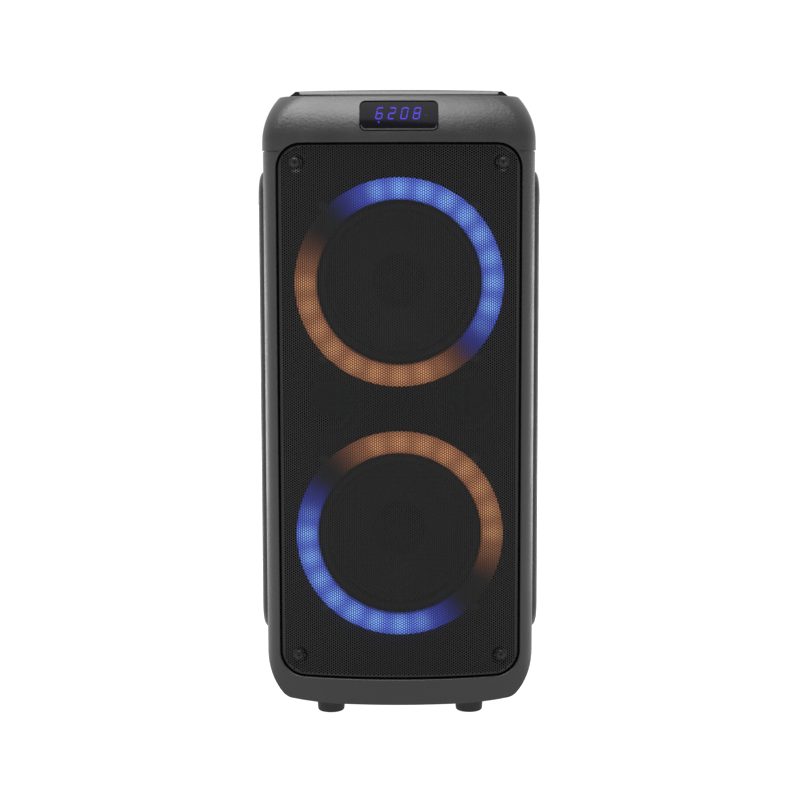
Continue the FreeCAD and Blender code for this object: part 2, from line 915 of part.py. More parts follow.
def woofer_pieces(name, z):
    flange, thick = d.flange_radius, d.flange_thickness
    coil = d.coil_radius
    magnet = d.magnet_radius
    cone = d.cone_outer

    basket = new_body(f"{name}_basket")
    sketch = sketch_on(basket, "XZ_Plane")
    add_loop(sketch, [
        (84.0, 0),
        (86.0, -3),
        (56.0, -50),
        (21.5, -50),
        (21.5, -53),
        (58.0, -53),
        (87.6, -6),
        (87.6, 0),
        (flange, 0),
        (flange, thick),
        (84.0, thick),
    ])
    spin = basket.newObject("PartDesign::Revolution", "Turn")
    spin.Profile = sketch
    spin.ReferenceAxis = (sketch, ["V_Axis"])
    spin.Angle = 360
    windows = sketch_on(basket, "XY_Plane", -6.0)
    slope = 0.36
    add_loop(windows, [
        (58.5 * math.cos(slope), -58.5 * math.sin(slope)),
        (83.0 * math.cos(slope), -83.0 * math.sin(slope), 83.0, 1),
        (83.0 * math.cos(slope), 83.0 * math.sin(slope)),
        (58.5 * math.cos(slope), 58.5 * math.sin(slope), 58.5, -1),
    ])
    window = pocket(basket, windows, 42.0)
    spokes = basket.newObject("PartDesign::PolarPattern", "Windows")
    spokes.Originals = [window]
    spokes.Axis = (windows, ["N_Axis"])
    spokes.Angle = 360
    spokes.Occurrences = 6
    basket.Tip = spokes

    plate = turned(f"{name}_top_plate", rectangle(coil + 1.4, -58, 50.0, -53))
    ring = turned(f"{name}_magnet", rectangle(30.0, -78, magnet, -58))
    yoke = turned(f"{name}_yoke", [
        (0, -84),
        (52.0, -84),
        (52.0, -78),
        (coil - 0.8, -78),
        (coil - 0.8, -53),
        (0, -53),
    ])
    voice_coil = turned(f"{name}_voice_coil", [
        (coil, -66),
        (coil + 0.7, -66),
        (coil + 0.7, -54),
        (coil + 0.3, -54),
        (coil + 0.3, -31),
        (coil, -31),
    ])
    spider = turned(f"{name}_spider", [
        (coil + 0.8, -40),
        (26.0, -38),
        (31.0, -42),
        (36.0, -38),
        (41.0, -42),
        (46.0, -40),
        (57.4, -46.8),
        (55.8, -47.6),
        (45.5, -41.0),
        (41.0, -43),
        (36.0, -39),
        (31.0, -43),
        (26.0, -39),
        (coil + 0.8, -41),
    ])
    paper = turned(f"{name}_cone", [
        (coil + 0.3, -33),
        (coil + 1.1, -33.4),
        (cone + 0.4, -4.6),
        (cone + 3.0, -4.6),
        (cone + 3.0, -3.8),
        (cone, -3.8),
        (coil + 0.3, -32),
    ])
    cap = turned(f"{name}_dust_cap", [
        (0, -19, dome_radius(27.0, 8.3), -1),
        (27.0, -27.3),
        (26.2, -27.9, dome_radius(26.2, 8.1), 1),
        (0, -19.8),
    ])
    roll = turned(f"{name}_surround", [
        (cone + 0.6, -3.5),
        (cone + 3.2, -3.5, 6.4, -1),
        (cone + 13.6, thick + 0.1),
        (cone + 20.0, thick + 0.1),
        (cone + 20.0, thick + 0.7),
        (cone + 14.2, thick + 0.7, 7.0, 1),
        (cone + 2.6, -2.9),
        (cone + 0.6, -2.9),
    ])
    pieces = {
        "basket": basket,
        "top_plate": plate,
        "magnet": ring,
        "yoke": yoke,
        "voice_coil": voice_coil,
        "spider": spider,
        "cone": paper,
        "dust_cap": cap,
        "surround": roll,
    }
    for part_name, body in pieces.items():
        keep(place(body, 0, -d.baffle_front, z, FRONT), f"{name}_{part_name}")


# Top deck, controls and handle


def make_deck():
    body = new_body("control_deck")
    wide, plate = d.deck_half_width, d.deck_plate
    floor = d.deck_floor
    rim = d.cap_top - d.wall
    tray = sketch_on(body, "XY_Plane", floor - plate)
    outline = (-wide - plate, -d.deck_front - plate, wide + plate, d.deck_rear + plate)
    add_loop(tray, rounded(*outline, DECK_CORNER + 3))
    pad(body, tray, rim - floor + plate)
    scoop = sketch_on(body, "XY_Plane", d.scoop_floor - plate)
    reach = d.scoop_half_width + plate
    add_loop(scoop, rounded(
        -reach, -d.scoop_front - plate, reach, d.scoop_rear + plate, 15.0
    ))
    pad(body, scoop, floor - d.scoop_floor)
    cavity = sketch_on(body, "XY_Plane", rim)
    outline = (-wide, -d.deck_front, wide, d.deck_rear)
    add_loop(cavity, rounded(*outline, DECK_CORNER))
    pocket(body, cavity, rim - floor)
    hollow = sketch_on(body, "XY_Plane", floor)
    reach = d.scoop_half_width
    add_loop(hollow, rounded(-reach, -d.scoop_front, reach, d.scoop_rear, 12.0))
    pocket(body, hollow, floor - d.scoop_floor)
    holes = sketch_on(body, "XY_Plane", floor)
    for _, x in BUTTONS:
        add_circle(holes, x, -d.control_row, d.button_radius + 0.4)
    add_circle(holes, 0, -d.control_row, 4.8)
    pocket(body, holes, plate)
    keep(body, "control_deck")


def make_controls():
    radius, top = d.button_radius, d.button_top
    flange = d.button_flange_top
    for label, x in BUTTONS:
        body = turned(label, [
            (0, d.board_top + 6.9),
            (3.0, d.board_top + 6.9),
            (3.0, flange - 1.7),
            (radius + 1.5, flange - 1.7),
            (radius + 1.5, flange),
            (radius, flange),
            (radius, top - 0.8),
            (radius - 0.8, top),
            (0, top),
        ])
        keep(place(body, x, -d.control_row, 0), label)
    knob, high = d.knob_radius, d.knob_top
    spindle = d.spindle_radius
    body = turned("volume_knob", [
        (0, d.board_top + 1.4),
        (spindle, d.board_top + 1.4),
        (spindle, high - 4),
        (knob - 3, high - 4),
        (knob - 3, d.deck_floor + 0.6),
        (knob, d.deck_floor + 0.6),
        (knob, high - 1.2),
        (knob - 1.2, high),
        (0, high),
    ])
    keep(place(body, 0, -d.control_row, 0), "volume_knob")
    body = turned("volume_encoder", [
        (spindle + 0.05, d.board_top),
        (8.0, d.board_top),
        (8.0, d.board_top + 8),
        (4.6, d.board_top + 8),
        (4.6, d.deck_floor + 2),
        (spindle + 0.05, d.deck_floor + 2),
    ])
    keep(place(body, 0, -d.control_row, 0), "volume_encoder")
    body = new_body("control_board")
    card = sketch_on(body, "XY_Plane", d.board_top - 1.6)
    add_loop(card, rectangle(-96.0, -86.0, 96.0, -24.0))
    pad(body, card, 1.6)
    switches = sketch_on(body, "XY_Plane", d.board_top)
    for _, x in BUTTONS:
        add_loop(switches, rectangle(
            x - 3.0, -d.control_row - 3.0, x + 3.0, -d.control_row + 3.0
        ))
    pad(body, switches, 5.4)
    keep(body, "control_board")


def make_handle():
    """A grip bar with soft shoulders, a round underside and a crowned top, on two pillars."""
    body = new_body("carry_handle")
    reach, top, crown = d.handle_half_width, d.handle_top, d.handle_crown
    front, rear = d.handle_front, d.handle_rear
    blank_top = top + 0.3
    bar = sketch_on(body, "YZ_Plane", -reach)
    add_loop(bar, [
        (front, top - 5, 18.7, 1),
        (rear, top - 5, 7.8, 1),
        (rear - 6, blank_top),
        (front + 6, blank_top, 7.8, 1),
    ])
    pad(body, bar, reach * 2)
    half = number(reach) + 1
    bow = (half**2 + number(crown)**2) / (2 * number(crown))
    above = sketch_on(body, "XZ_Plane", 5 - front)
    add_loop(above, [
        (-reach - 1, top - crown, bow, -1),
        (reach + 1, top - crown),
        (reach + 1, top + 5),
        (-reach - 1, top + 5),
    ])
    pocket(body, above, rear - front + 10)
    for side in (-1, 1):
        pillar = sketch_on(body, "XY_Plane", d.deck_floor)
        inner, outer = sorted((side * 100.6, side * 107.0))
        add_loop(pillar, rounded(inner, front + 5, outer, rear - 5, 2.0))
        pad(body, pillar, top - d.deck_floor - 6)
    keep(body, "carry_handle")
    ends = []
    for side in (-1, 1):
        wedge = new_body("handle_end")
        outline = sketch_on(wedge, "XZ_Plane", -rear - 3)
        corners = [
            ((reach + 0.3) * side, d.cap_top),
            ((reach + 16.0) * side, d.cap_top),
            ((reach + 4.2) * side, top - crown - 0.6),
            ((reach + 0.3) * side, top - crown - 0.6),
        ]
        add_loop(outline, corners if side > 0 else corners[::-1])
        pad(wedge, outline, rear - front + 6)
        ends.append(wedge)
    keep(group(ends), "handle_ends")


# Rear input panel


def make_input_panel():
    body = new_body("input_panel")
    inner = d.shell_rear - d.wall
    wide = d.inlet_half_width
    low, high = d.inlet_bottom, d.inlet_top
    flange = sketch_on(body, "XZ_Plane", -inner)
    add_loop(flange, rectangle(-wide - 6, low - 6, wide + 6, high + 6))
    pad(body, flange, 3.0)
    face = sketch_on(body, "XZ_Plane", -d.panel_face)
    add_loop(face, rectangle(-wide + 0.3, low + 0.3, wide - 0.3, high - 0.3))
    pad(body, face, d.panel_face - inner)
    holes = sketch_on(body, "XZ_Plane", -d.panel_face)
    for x in MIC_JACK_SIDES:
        add_circle(holes, x, d.socket_row, 5.7)
    add_circle(holes, LINE_SIDE, d.socket_row, 3.8)
    add_loop(holes, rectangle(
        USB_SIDE - 7.4, d.socket_row - 3.7, USB_SIDE + 7.4, d.socket_row + 3.7
    ))
    add_loop(holes, rectangle(
        -d.rocker_side - 9.2, d.power_row - 12.8, -d.rocker_side + 9.2, d.power_row + 12.8
    ))
    add_loop(holes, rectangle(
        d.mains_side - 12.2, d.power_row - 6.7, d.mains_side + 12.2, d.power_row + 6.7
    ))
    for x, z in PANEL_SCREWS:
        add_circle(holes, x, z, REAR_SHANK)
    pocket(body, holes, 9.0, reverse=True)
    keep(body, "input_panel")


def jack(label, x, bore, barrel, nut, case, depth):
    """A round socket: nut outside the panel, barrel through it and a closed case behind."""
    through = d.panel_face - d.shell_rear + d.wall + 3
    body = turned(label, [
        (bore, 1.6),
        (nut, 1.6),
        (nut, 0),
        (barrel, 0),
        (barrel, -through),
        (case, -through),
        (case, -depth - 2),
        (0, -depth - 2),
        (0, -depth),
        (bore, -depth),
    ])
    return place(body, x, d.panel_face, d.socket_row, REAR)


def make_sockets():
    mics = [jack("mic_jack", x, 3.25, 5.5, 7.5, 9.0, 30.0) for x in MIC_JACK_SIDES]
    keep(group(mics), "mic_jacks")
    line = jack("line_jack", LINE_SIDE, 1.8, 3.6, 5.2, 5.2, 15.0)
    low = (USB_SIDE - 7.2, d.panel_face - 15.0, d.socket_row - 3.5)
    high = (USB_SIDE + 7.2, d.panel_face + 0.4, d.socket_row + 3.5)
    shell = block(low, high)
    low = (USB_SIDE - 6.25, d.panel_face - 12.0, d.socket_row - 2.6)
    high = (USB_SIDE + 6.25, d.panel_face + 1.0, d.socket_row + 2.6)
    usb = cut(shell, block(low, high))
    keep(group([line, usb]), "line_sockets")


def make_mains_inlet():
    """A two-pin inlet: flange outside, case behind, a rounded recess and two pins."""
    body = new_body("mains_inlet")
    x, z = d.mains_side, d.power_row
    case = sketch_on(body, "XZ_Plane", -d.panel_face)
    add_loop(case, rectangle(x - 12.0, z - 6.5, x + 12.0, z + 6.5))
    pad(body, case, 22.0)
    flange = sketch_on(body, "XZ_Plane", -d.panel_face - 1.4)
    add_loop(flange, rounded(x - 15.0, z - 9.0, x + 15.0, z + 9.0, 2.0))
    pad(body, flange, 1.4)
    recess = sketch_on(body, "XZ_Plane", -d.panel_face - 1.4)
    add_loop(recess, rounded(x - 10.2, z - 4.6, x + 10.2, z + 4.6, 4.2))
    pocket(body, recess, 17.4, reverse=True)
    pins = sketch_on(body, "XZ_Plane", -d.panel_face + 1.0)
    for offset in (-4.3, 4.3):
        add_circle(pins, x + offset, z, 1.2)
    pad(body, pins, 16.0)
    keep(body, "mains_inlet")


def make_power_switch():
    x, z = -d.rocker_side, d.power_row
    body = new_body("switch_housing")
    case = sketch_on(body, "XZ_Plane", -d.panel_face)
    add_loop(case, rectangle(x - 9.0, z - 12.6, x + 9.0, z + 12.6))
    pad(body, case, 20.0)
    flange = sketch_on(body, "XZ_Plane", -d.panel_face - 1.0)
    add_loop(flange, rectangle(x - 10.5, z - 14.0, x + 10.5, z + 14.0))
    pad(body, flange, 1.0)
    well = sketch_on(body, "XZ_Plane", -d.panel_face - 1.0)
    add_loop(well, rectangle(x - 6.5, z - 10.7, x + 6.5, z + 10.7))
    pocket(body, well, 18.0, reverse=True)
    axle = sketch_on(body, "YZ_Plane", x - 8.2)
    add_circle(axle, d.rocker_pivot, z, 1.55)
    pocket(body, axle, 16.4, reverse=True)
    keep(body, "switch_housing")
    body = new_body("power_rocker")
    paddle = sketch_on(body, "YZ_Plane", -6.1)
    add_loop(paddle, [
        (3.5, 0),
        (5.6, 8.4, 10.1, 1),
        (-2.0, 9.9),
        (-4.0, 4.0),
        (-4.0, -4.0),
        (-2.0, -9.9, 10.1, 1),
        (5.6, -8.4),
    ])
    pad(body, paddle, 12.2)
    pin = sketch_on(body, "YZ_Plane", -8.0)
    add_circle(pin, 0, 0, 1.5)
    pad(body, pin, 16.0)
    tilt = FreeCAD.Rotation(V(1, 0, 0), 8)
    keep(place(body, x, d.rocker_pivot, z, tilt), "power_rocker")


# Electronics, battery, feet and screws


def make_electronics():
    inner = d.shell_rear - d.wall
    card = inner - 12.0
    pieces = [
        block((-75.0, card, 250.0), (75.0, card + 1.6, 370.0)),
        block((-60.0, card - 20, 262.0), (-8.0, card, 352.0)),
        cylinder(9, 26, 30, card, 290, FRONT),
        cylinder(9, 26, 54, card, 290, FRONT),
        cylinder(7, 12, 36, card, 340, FRONT),
    ]
    for x in (-68.0, 68.0):
        for z in (257.0, 363.0):
            pieces.append(cylinder(3, 10.4, x, card + 1.6, z, REAR))
    keep(fuse(pieces), "amplifier_board")
    pieces = [
        block((-65.0, card, 130.0), (65.0, card + 1.6, 215.0)),
        block((-20.0, card - 30, 150.0), (22.0, card, 190.0)),
        cylinder(9, 28, -42, card, 172, FRONT),
        block((32.0, card - 22, 145.0), (56.0, card, 200.0)),
    ]
    for x in (-58.0, 58.0):
        for z in (137.0, 208.0):
            pieces.append(cylinder(3, 10.4, x, card + 1.6, z, REAR))
    keep(fuse(pieces), "power_supply_board")
    body = new_body("battery_pack")
    floor = d.shell_bottom + d.wall
    case = sketch_on(body, "XY_Plane", floor)
    add_loop(case, rounded(-58.0, -30.0, 58.0, 60.0, 4.0))
    pad(body, case, 82.0)
    keep(body, "battery_pack")


def make_feet():
    wide, tall = d.foot_radius, d.shell_bottom
    spots = {
        "foot_front_left": (-d.foot_side, -d.foot_depth),
        "foot_front_right": (d.foot_side, -d.foot_depth),
        "foot_rear_left": (-d.foot_side, d.foot_depth),
        "foot_rear_right": (d.foot_side, d.foot_depth),
    }
    for label, (x, y) in spots.items():
        body = turned(label, [
            (5.5, 0),
            (wide - 3, 0, 2.0, 1),
            (wide - 1, 2.0),
            (wide, tall),
            (FOOT_SHANK + 0.2, tall),
            (FOOT_SHANK + 0.2, 5),
            (5.5, 5),
        ])
        keep(place(body, x, y, 0), label)


def make_cabinet_screws():
    screws = []
    down = FreeCAD.Rotation(V(1, 0, 0), 180)
    for x in (-d.foot_side, d.foot_side):
        for y in (-d.foot_depth, d.foot_depth):
            screws.append(screw(x, y, 5, down, 4.2, 2.6, FOOT_SHANK, 18))
    for x, z in REAR_SCREWS:
        y = d.shell_rear - REAR_SCREW_SINK
        screws.append(screw(x, y, z, REAR, 3.5, 1.6, REAR_SHANK, 9))
    for x, z in PANEL_SCREWS:
        screws.append(screw(x, d.panel_face, z, REAR, 3.2, 1.4, REAR_SHANK, 9))
    keep(group(screws), "cabinet_screws")


def check_document():
    """Stop before anything is written if a feature failed or a shape is broken."""
    doc.recompute()
    for thing in doc.Objects:
        if "Invalid" in thing.State or "Error" in thing.State:
            raise RuntimeError(f"{thing.Label} ({thing.Name}) failed: {thing.State}")
    for thing in nodes:
        if thing.Shape.isNull() or not thing.Shape.isValid() or not thing.Shape.Solids:
            raise RuntimeError(f"{thing.Label} has no valid shape")


def write_nodes():
    os.makedirs("parts", exist_ok=True)
    for thing in nodes:
        thing.Shape.exportStep(f"parts/{thing.Label}.step")
    print(f"{len(nodes)} sub-parts written")


def main():
    make_shells()
    make_top_cap()
    make_display()
    make_side_panels()
    make_grille()
    make_grille_screws()
    make_baffle()
    for name, z in (("upper", d.woofer_high), ("lower", d.woofer_low)):
        make_light_ring(f"light_ring_{name}", z)
        woofer_pieces(f"{name}_woofer", z)
    make_led_boards()
    make_ring_screws()
    make_port("port_tube_left", -1)
    make_port("port_tube_right", 1)
    make_deck()
    make_controls()
    make_handle()
    make_input_panel()
    make_sockets()
    make_mains_inlet()
    make_power_switch()
    make_electronics()
    make_feet()
    make_cabinet_screws()
    check_document()
    write_nodes()


main()
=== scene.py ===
import math

import bmesh
import bpy
import numpy as np
from mathutils import Matrix, Vector
from mathutils.bvhtree import BVHTree


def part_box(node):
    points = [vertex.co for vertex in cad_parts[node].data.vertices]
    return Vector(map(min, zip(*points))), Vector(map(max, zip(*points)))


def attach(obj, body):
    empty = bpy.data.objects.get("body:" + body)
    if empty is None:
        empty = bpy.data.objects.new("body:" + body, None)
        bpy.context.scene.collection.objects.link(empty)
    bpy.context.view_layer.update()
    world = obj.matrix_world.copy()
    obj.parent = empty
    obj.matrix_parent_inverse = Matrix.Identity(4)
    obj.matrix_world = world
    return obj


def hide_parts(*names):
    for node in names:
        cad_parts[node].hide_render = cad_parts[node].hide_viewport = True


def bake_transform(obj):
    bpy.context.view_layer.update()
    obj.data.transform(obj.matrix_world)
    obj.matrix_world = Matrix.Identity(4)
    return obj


# Looks for the party speaker. Metres; the front faces -Y, +X is to the right seen from the front.

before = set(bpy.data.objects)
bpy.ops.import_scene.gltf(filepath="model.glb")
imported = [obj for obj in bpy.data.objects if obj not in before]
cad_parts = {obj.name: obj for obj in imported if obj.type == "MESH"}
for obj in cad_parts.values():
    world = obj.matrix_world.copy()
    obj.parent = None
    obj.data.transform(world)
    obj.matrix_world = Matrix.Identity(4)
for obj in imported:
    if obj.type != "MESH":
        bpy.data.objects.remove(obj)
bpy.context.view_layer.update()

MM = 0.001
WOOFERS = ("upper", "lower")

# Turns of a local +Z: to the front, to the back with local +Y up, and to the floor.
FORWARD = Matrix.Rotation(math.radians(90), 4, "X")
BACKWARD = Matrix.Rotation(math.radians(-90), 4, "X") @ Matrix.Rotation(math.pi, 4, "Z")
DOWNWARD = Matrix.Rotation(math.pi, 4, "X")


# Materials

# Nearly all of a noise pattern's values lie between these
PATTERN_LOW, PATTERN_HIGH = 0.3, 0.7


def make_material(name, colour, roughness, metallic=0.0, specular=0.5):
    material = bpy.data.materials.new(name)
    material.use_nodes = True
    shader = material.node_tree.nodes["Principled BSDF"]
    shader.inputs["Base Color"].default_value = (*colour, 1)
    shader.inputs["Roughness"].default_value = roughness
    shader.inputs["Metallic"].default_value = metallic
    shader.inputs["Specular IOR Level"].default_value = specular
    return material


def add_node(material, kind, **settings):
    node = material.node_tree.nodes.new(kind)
    for name, value in settings.items():
        setattr(node, name, value)
    return node


def link(material, output, socket):
    material.node_tree.links.new(output, socket)


def shader_of(material):
    return material.node_tree.nodes["Principled BSDF"]


def object_point(material):
    return add_node(material, "ShaderNodeTexCoord").outputs["Object"]


def noise(material, scale, detail=2.0, stretch=None):
    """A noise pattern in the row frame. The size of its features is about 1 / scale metres."""
    texture = add_node(material, "ShaderNodeTexNoise")
    texture.inputs["Scale"].default_value = scale
    texture.inputs["Detail"].default_value = detail
    point = object_point(material)
    if stretch:
        mapping = add_node(material, "ShaderNodeMapping")
        mapping.inputs["Scale"].default_value = stretch
        link(material, point, mapping.inputs["Vector"])
        point = mapping.outputs["Vector"]
    link(material, point, texture.inputs["Vector"])
    return texture.outputs["Fac"]


def spread(material, value, low, high, start=PATTERN_LOW, end=PATTERN_HIGH):
    """Maps a pattern from start..end to low..high."""
    node = add_node(material, "ShaderNodeMapRange")
    node.inputs["From Min"].default_value = start
    node.inputs["From Max"].default_value = end
    node.inputs["To Min"].default_value = low
    node.inputs["To Max"].default_value = high
    link(material, value, node.inputs["Value"])
    return node.outputs["Result"]


def vary_colour(material, value, dark, light):
    ramp = add_node(material, "ShaderNodeValToRGB")
    ramp.color_ramp.elements[0].position = PATTERN_LOW
    ramp.color_ramp.elements[0].color = (*dark, 1)
    ramp.color_ramp.elements[1].position = PATTERN_HIGH
    ramp.color_ramp.elements[1].color = (*light, 1)
    link(material, value, ramp.inputs["Fac"])
    link(material, ramp.outputs["Color"], shader_of(material).inputs["Base Color"])


def vary_roughness(material, value, low, high):
    link(material, spread(material, value, low, high), shader_of(material).inputs["Roughness"])


def add_bump(material, value, depth):
    bump = add_node(material, "ShaderNodeBump")
    bump.inputs["Strength"].default_value = 1.0
    bump.inputs["Distance"].default_value = depth
    link(material, value, bump.inputs["Height"])
    link(material, bump.outputs["Normal"], shader_of(material).inputs["Normal"])


def moulded(name, shade, roughness, grain=0.05 * MM, grain_scale=1500.0, specular=0.5):
    """Moulded plastic: a spark-eroded grain, with a slow drift in gloss and tone."""
    colour = [shade] * 3
    material = make_material(name, colour, roughness, specular=specular)
    drift = noise(material, 25.0, 3.0)
    vary_colour(material, drift, [c * 0.9 for c in colour], [c * 1.12 for c in colour])
    vary_roughness(material, drift, roughness - 0.03, roughness + 0.05)
    add_bump(material, noise(material, grain_scale, 4.0), grain)
    return material


def brushed(name, colour, roughness, scale=900.0):
    """Turned or drawn metal with fine streaks along the depth of the object."""
    material = make_material(name, colour, roughness, metallic=1.0)
    streak = noise(material, scale, 2.0, stretch=(1.0, 0.05, 1.0))
    vary_roughness(material, streak, roughness - 0.08, roughness + 0.12)
    add_bump(material, streak, 0.01 * MM)
    return material


def paper(name, shade, specular, fibre=700.0):
    """Pressed cone paper with long fibres in its surface."""
    material = make_material(name, (shade, shade, shade * 1.03), 0.62, specular=specular)
    fibres = noise(material, fibre, 6.0)
    vary_colour(material, fibres, [shade * 0.75] * 3, [shade * 1.35] * 3)
    vary_roughness(material, fibres, 0.5, 0.75)
    add_bump(material, fibres, 0.12 * MM)
    return material


def woven(name, colour, pitch=1.1 * MM):
    """Doped cloth: two crossed sets of threads."""
    material = make_material(name, colour, 0.8)
    point = object_point(material)
    waves = []
    for direction in ("X", "Z"):
        wave = add_node(material, "ShaderNodeTexWave", bands_direction=direction)
        wave.inputs["Scale"].default_value = 1 / pitch / 20
        link(material, point, wave.inputs["Vector"])
        waves.append(wave.outputs["Fac"])
    both = add_node(material, "ShaderNodeMath", operation="MULTIPLY")
    link(material, waves[0], both.inputs[0])
    link(material, waves[1], both.inputs[1])
    add_bump(material, both.outputs[0], 0.2 * MM)
    return material


def circuit_board(name):
    """Green solder mask with lighter copper patches under it."""
    material = make_material(name, (0.004, 0.03, 0.013), 0.35)
    patches = add_node(material, "ShaderNodeTexVoronoi", feature="DISTANCE_TO_EDGE")
    patches.inputs["Scale"].default_value = 160.0
    link(material, object_point(material), patches.inputs["Vector"])
    ramp = add_node(material, "ShaderNodeValToRGB")
    ramp.color_ramp.elements[0].position = 0.04
    ramp.color_ramp.elements[0].color = (0.002, 0.015, 0.007, 1)
    ramp.color_ramp.elements[1].position = 0.07
    ramp.color_ramp.elements[1].color = (0.004, 0.035, 0.014, 1)
    link(material, patches.outputs["Distance"], ramp.inputs["Fac"])
    link(material, ramp.outputs["Color"], shader_of(material).inputs["Base Color"])
    return material


def flat_paint(name, colour, roughness, specular=0.5):
    """An even, sprayed or plated finish with no pattern of its own."""
    return make_material(name, colour, roughness, specular=specular)


# Light through a ring: the deep colour of a faint LED and the paler colour of a full one

BLUE = ((0.05, 0.06, 0.84), (0.38, 0.82, 1.75))
ORANGE = ((0.355, 0.11, 0.042), (0.94, 0.43, 0.18))
RING_EDGE, RING_HOLE = 107.8 * MM, 84.8 * MM
LED_COUNT = 24
# How pale the light is on average and how much that swings between LEDs, how far a spot
# reaches from the ring's middle, and what is left of it at the rims
SPOT_LEVEL, SPOT_SWING = 0.46, 0.2
SPOT_REACH, SPOT_RIM = (3 * MM, 11 * MM), 0.35
# Per ring: the clock angle of the arc's middle, half its length and its soft end, in degrees,
# first for the blue arc and then for the orange one
RING_ZONES = {
    "upper": ((48.5, 76.5, 20.0), (216.5, 69.5, 19.0)),
    "lower": ((222.5, 67.5, 20.0), (37.5, 67.5, 18.0)),
}


def facing(material, flat, clock):
    """The cosine of the angle between a point and a clock angle in degrees, from 12 o'clock."""
    angle = math.radians(clock)
    dot = add_node(material, "ShaderNodeVectorMath", operation="DOT_PRODUCT")
    dot.inputs[1].default_value = (math.sin(angle), 0, math.cos(angle))
    link(material, flat, dot.inputs[0])
    return dot.outputs["Value"]


def zone(material, flat, clock, half, soft):
    """1 within half degrees of a clock angle, falling to 0 over soft degrees each side."""
    node = add_node(material, "ShaderNodeMapRange", interpolation_type="SMOOTHSTEP")
    node.inputs["From Min"].default_value = math.cos(math.radians(half + soft))
    node.inputs["From Max"].default_value = math.cos(math.radians(half - soft))
    link(material, facing(material, flat, clock), node.inputs["Value"])
    return node.outputs["Result"]


def math_node(material, operation, *values):
    node = add_node(material, "ShaderNodeMath", operation=operation)
    for socket, value in zip(node.inputs, values):
        if isinstance(value, (int, float)):
            socket.default_value = value
        else:
            link(material, value, socket)
    return node.outputs[0]


def lamp_colour(material, tones, level, power):
    """The light of one colour of LED: faint ones look deeper than full ones."""
    mix = add_node(material, "ShaderNodeMix", data_type="RGBA")
    mix.inputs["A"].default_value = (*tones[0], 1)
    mix.inputs["B"].default_value = (*tones[1], 1)
    link(material, level, mix.inputs["Factor"])
    lit = add_node(material, "ShaderNodeVectorMath", operation="SCALE")
    link(material, mix.outputs["Result"], lit.inputs[0])
    link(material, power, lit.inputs["Scale"])
    return lit.outputs["Vector"]


def ring_light(name, centre, blue_zone, orange_zone):
    """A diffuser lit from behind by LEDs: one arc blue, the other orange, dark between them."""
    material = make_material(name, (0.009, 0.009, 0.011), 0.5, specular=0.25)
    shader = shader_of(material)
    shift = add_node(material, "ShaderNodeVectorMath", operation="SUBTRACT")
    shift.inputs[1].default_value = centre
    link(material, object_point(material), shift.inputs[0])
    level = add_node(material, "ShaderNodeVectorMath", operation="MULTIPLY")
    level.inputs[1].default_value = (1, 0, 1)
    link(material, shift.outputs["Vector"], level.inputs[0])
    reach = add_node(material, "ShaderNodeVectorMath", operation="LENGTH")
    link(material, level.outputs["Vector"], reach.inputs[0])
    reach = reach.outputs["Value"]
    outer = spread(material, reach, 1.0, 0.0, RING_EDGE - 1.1 * MM, RING_EDGE + 0.8 * MM)
    inner = spread(material, reach, 0.3, 1.0, RING_HOLE, RING_HOLE + 2.0 * MM)
    within = math_node(material, "MULTIPLY", inner, outer)
    away = math_node(material, "SUBTRACT", reach, (RING_EDGE + RING_HOLE) / 2)
    away = math_node(material, "ABSOLUTE", away)
    middle = spread(material, away, 1.0, SPOT_RIM, *SPOT_REACH)
    flat = add_node(material, "ShaderNodeVectorMath", operation="NORMALIZE")
    link(material, level.outputs["Vector"], flat.inputs[0])
    flat = flat.outputs["Vector"]
    parts = add_node(material, "ShaderNodeSeparateXYZ")
    link(material, flat, parts.inputs[0])
    angle = math_node(material, "ARCTAN2", parts.outputs["X"], parts.outputs["Z"])
    swing = math_node(material, "COSINE", math_node(material, "MULTIPLY", angle, LED_COUNT))
    hot = math_node(material, "MULTIPLY_ADD", swing, SPOT_SWING, SPOT_LEVEL)
    hot = math_node(material, "MULTIPLY", hot, middle)
    colours = []
    for tones, where in ((BLUE, blue_zone), (ORANGE, orange_zone)):
        share = zone(material, flat, *where)
        pale = math_node(material, "MULTIPLY", math_node(material, "POWER", share, 3.0), hot)
        colours.append(lamp_colour(material, tones, pale, share))
    both = add_node(material, "ShaderNodeVectorMath", operation="ADD")
    link(material, colours[0], both.inputs[0])
    link(material, colours[1], both.inputs[1])
    link(material, both.outputs["Vector"], shader.inputs["Emission Color"])
    link(material, within, shader.inputs["Emission Strength"])
    return material


# The haze's middle below the window's top edge, and its reach sideways and up
HAZE_DROP, HAZE_WIDE, HAZE_TALL = 12.5 * MM, 40 * MM, 14 * MM


def window_face(name):
    """Smoked window with a faint haze of light round the read-out behind it."""
    material = flat_paint(name, (0.0042, 0.004, 0.0055), 0.16, 0.03)
    shader = shader_of(material)
    shift = add_node(material, "ShaderNodeMapping", vector_type="TEXTURE")
    shift.inputs["Location"].default_value = (0, 0, WINDOW[1].z - HAZE_DROP)
    shift.inputs["Scale"].default_value = (HAZE_WIDE, 1.0, HAZE_TALL)
    link(material, object_point(material), shift.inputs["Vector"])
    flat = add_node(material, "ShaderNodeVectorMath", operation="MULTIPLY")
    flat.inputs[1].default_value = (1, 0, 1)
    link(material, shift.outputs["Vector"], flat.inputs[0])
    reach = add_node(material, "ShaderNodeVectorMath", operation="LENGTH")
    link(material, flat.outputs["Vector"], reach.inputs[0])
    haze = spread(material, reach.outputs["Value"], 0.008, 0.0, 0.2, 1.0)
    shader.inputs["Emission Color"].default_value = (0.25, 0.15, 1.0, 1)
    link(material, haze, shader.inputs["Emission Strength"])
    return material


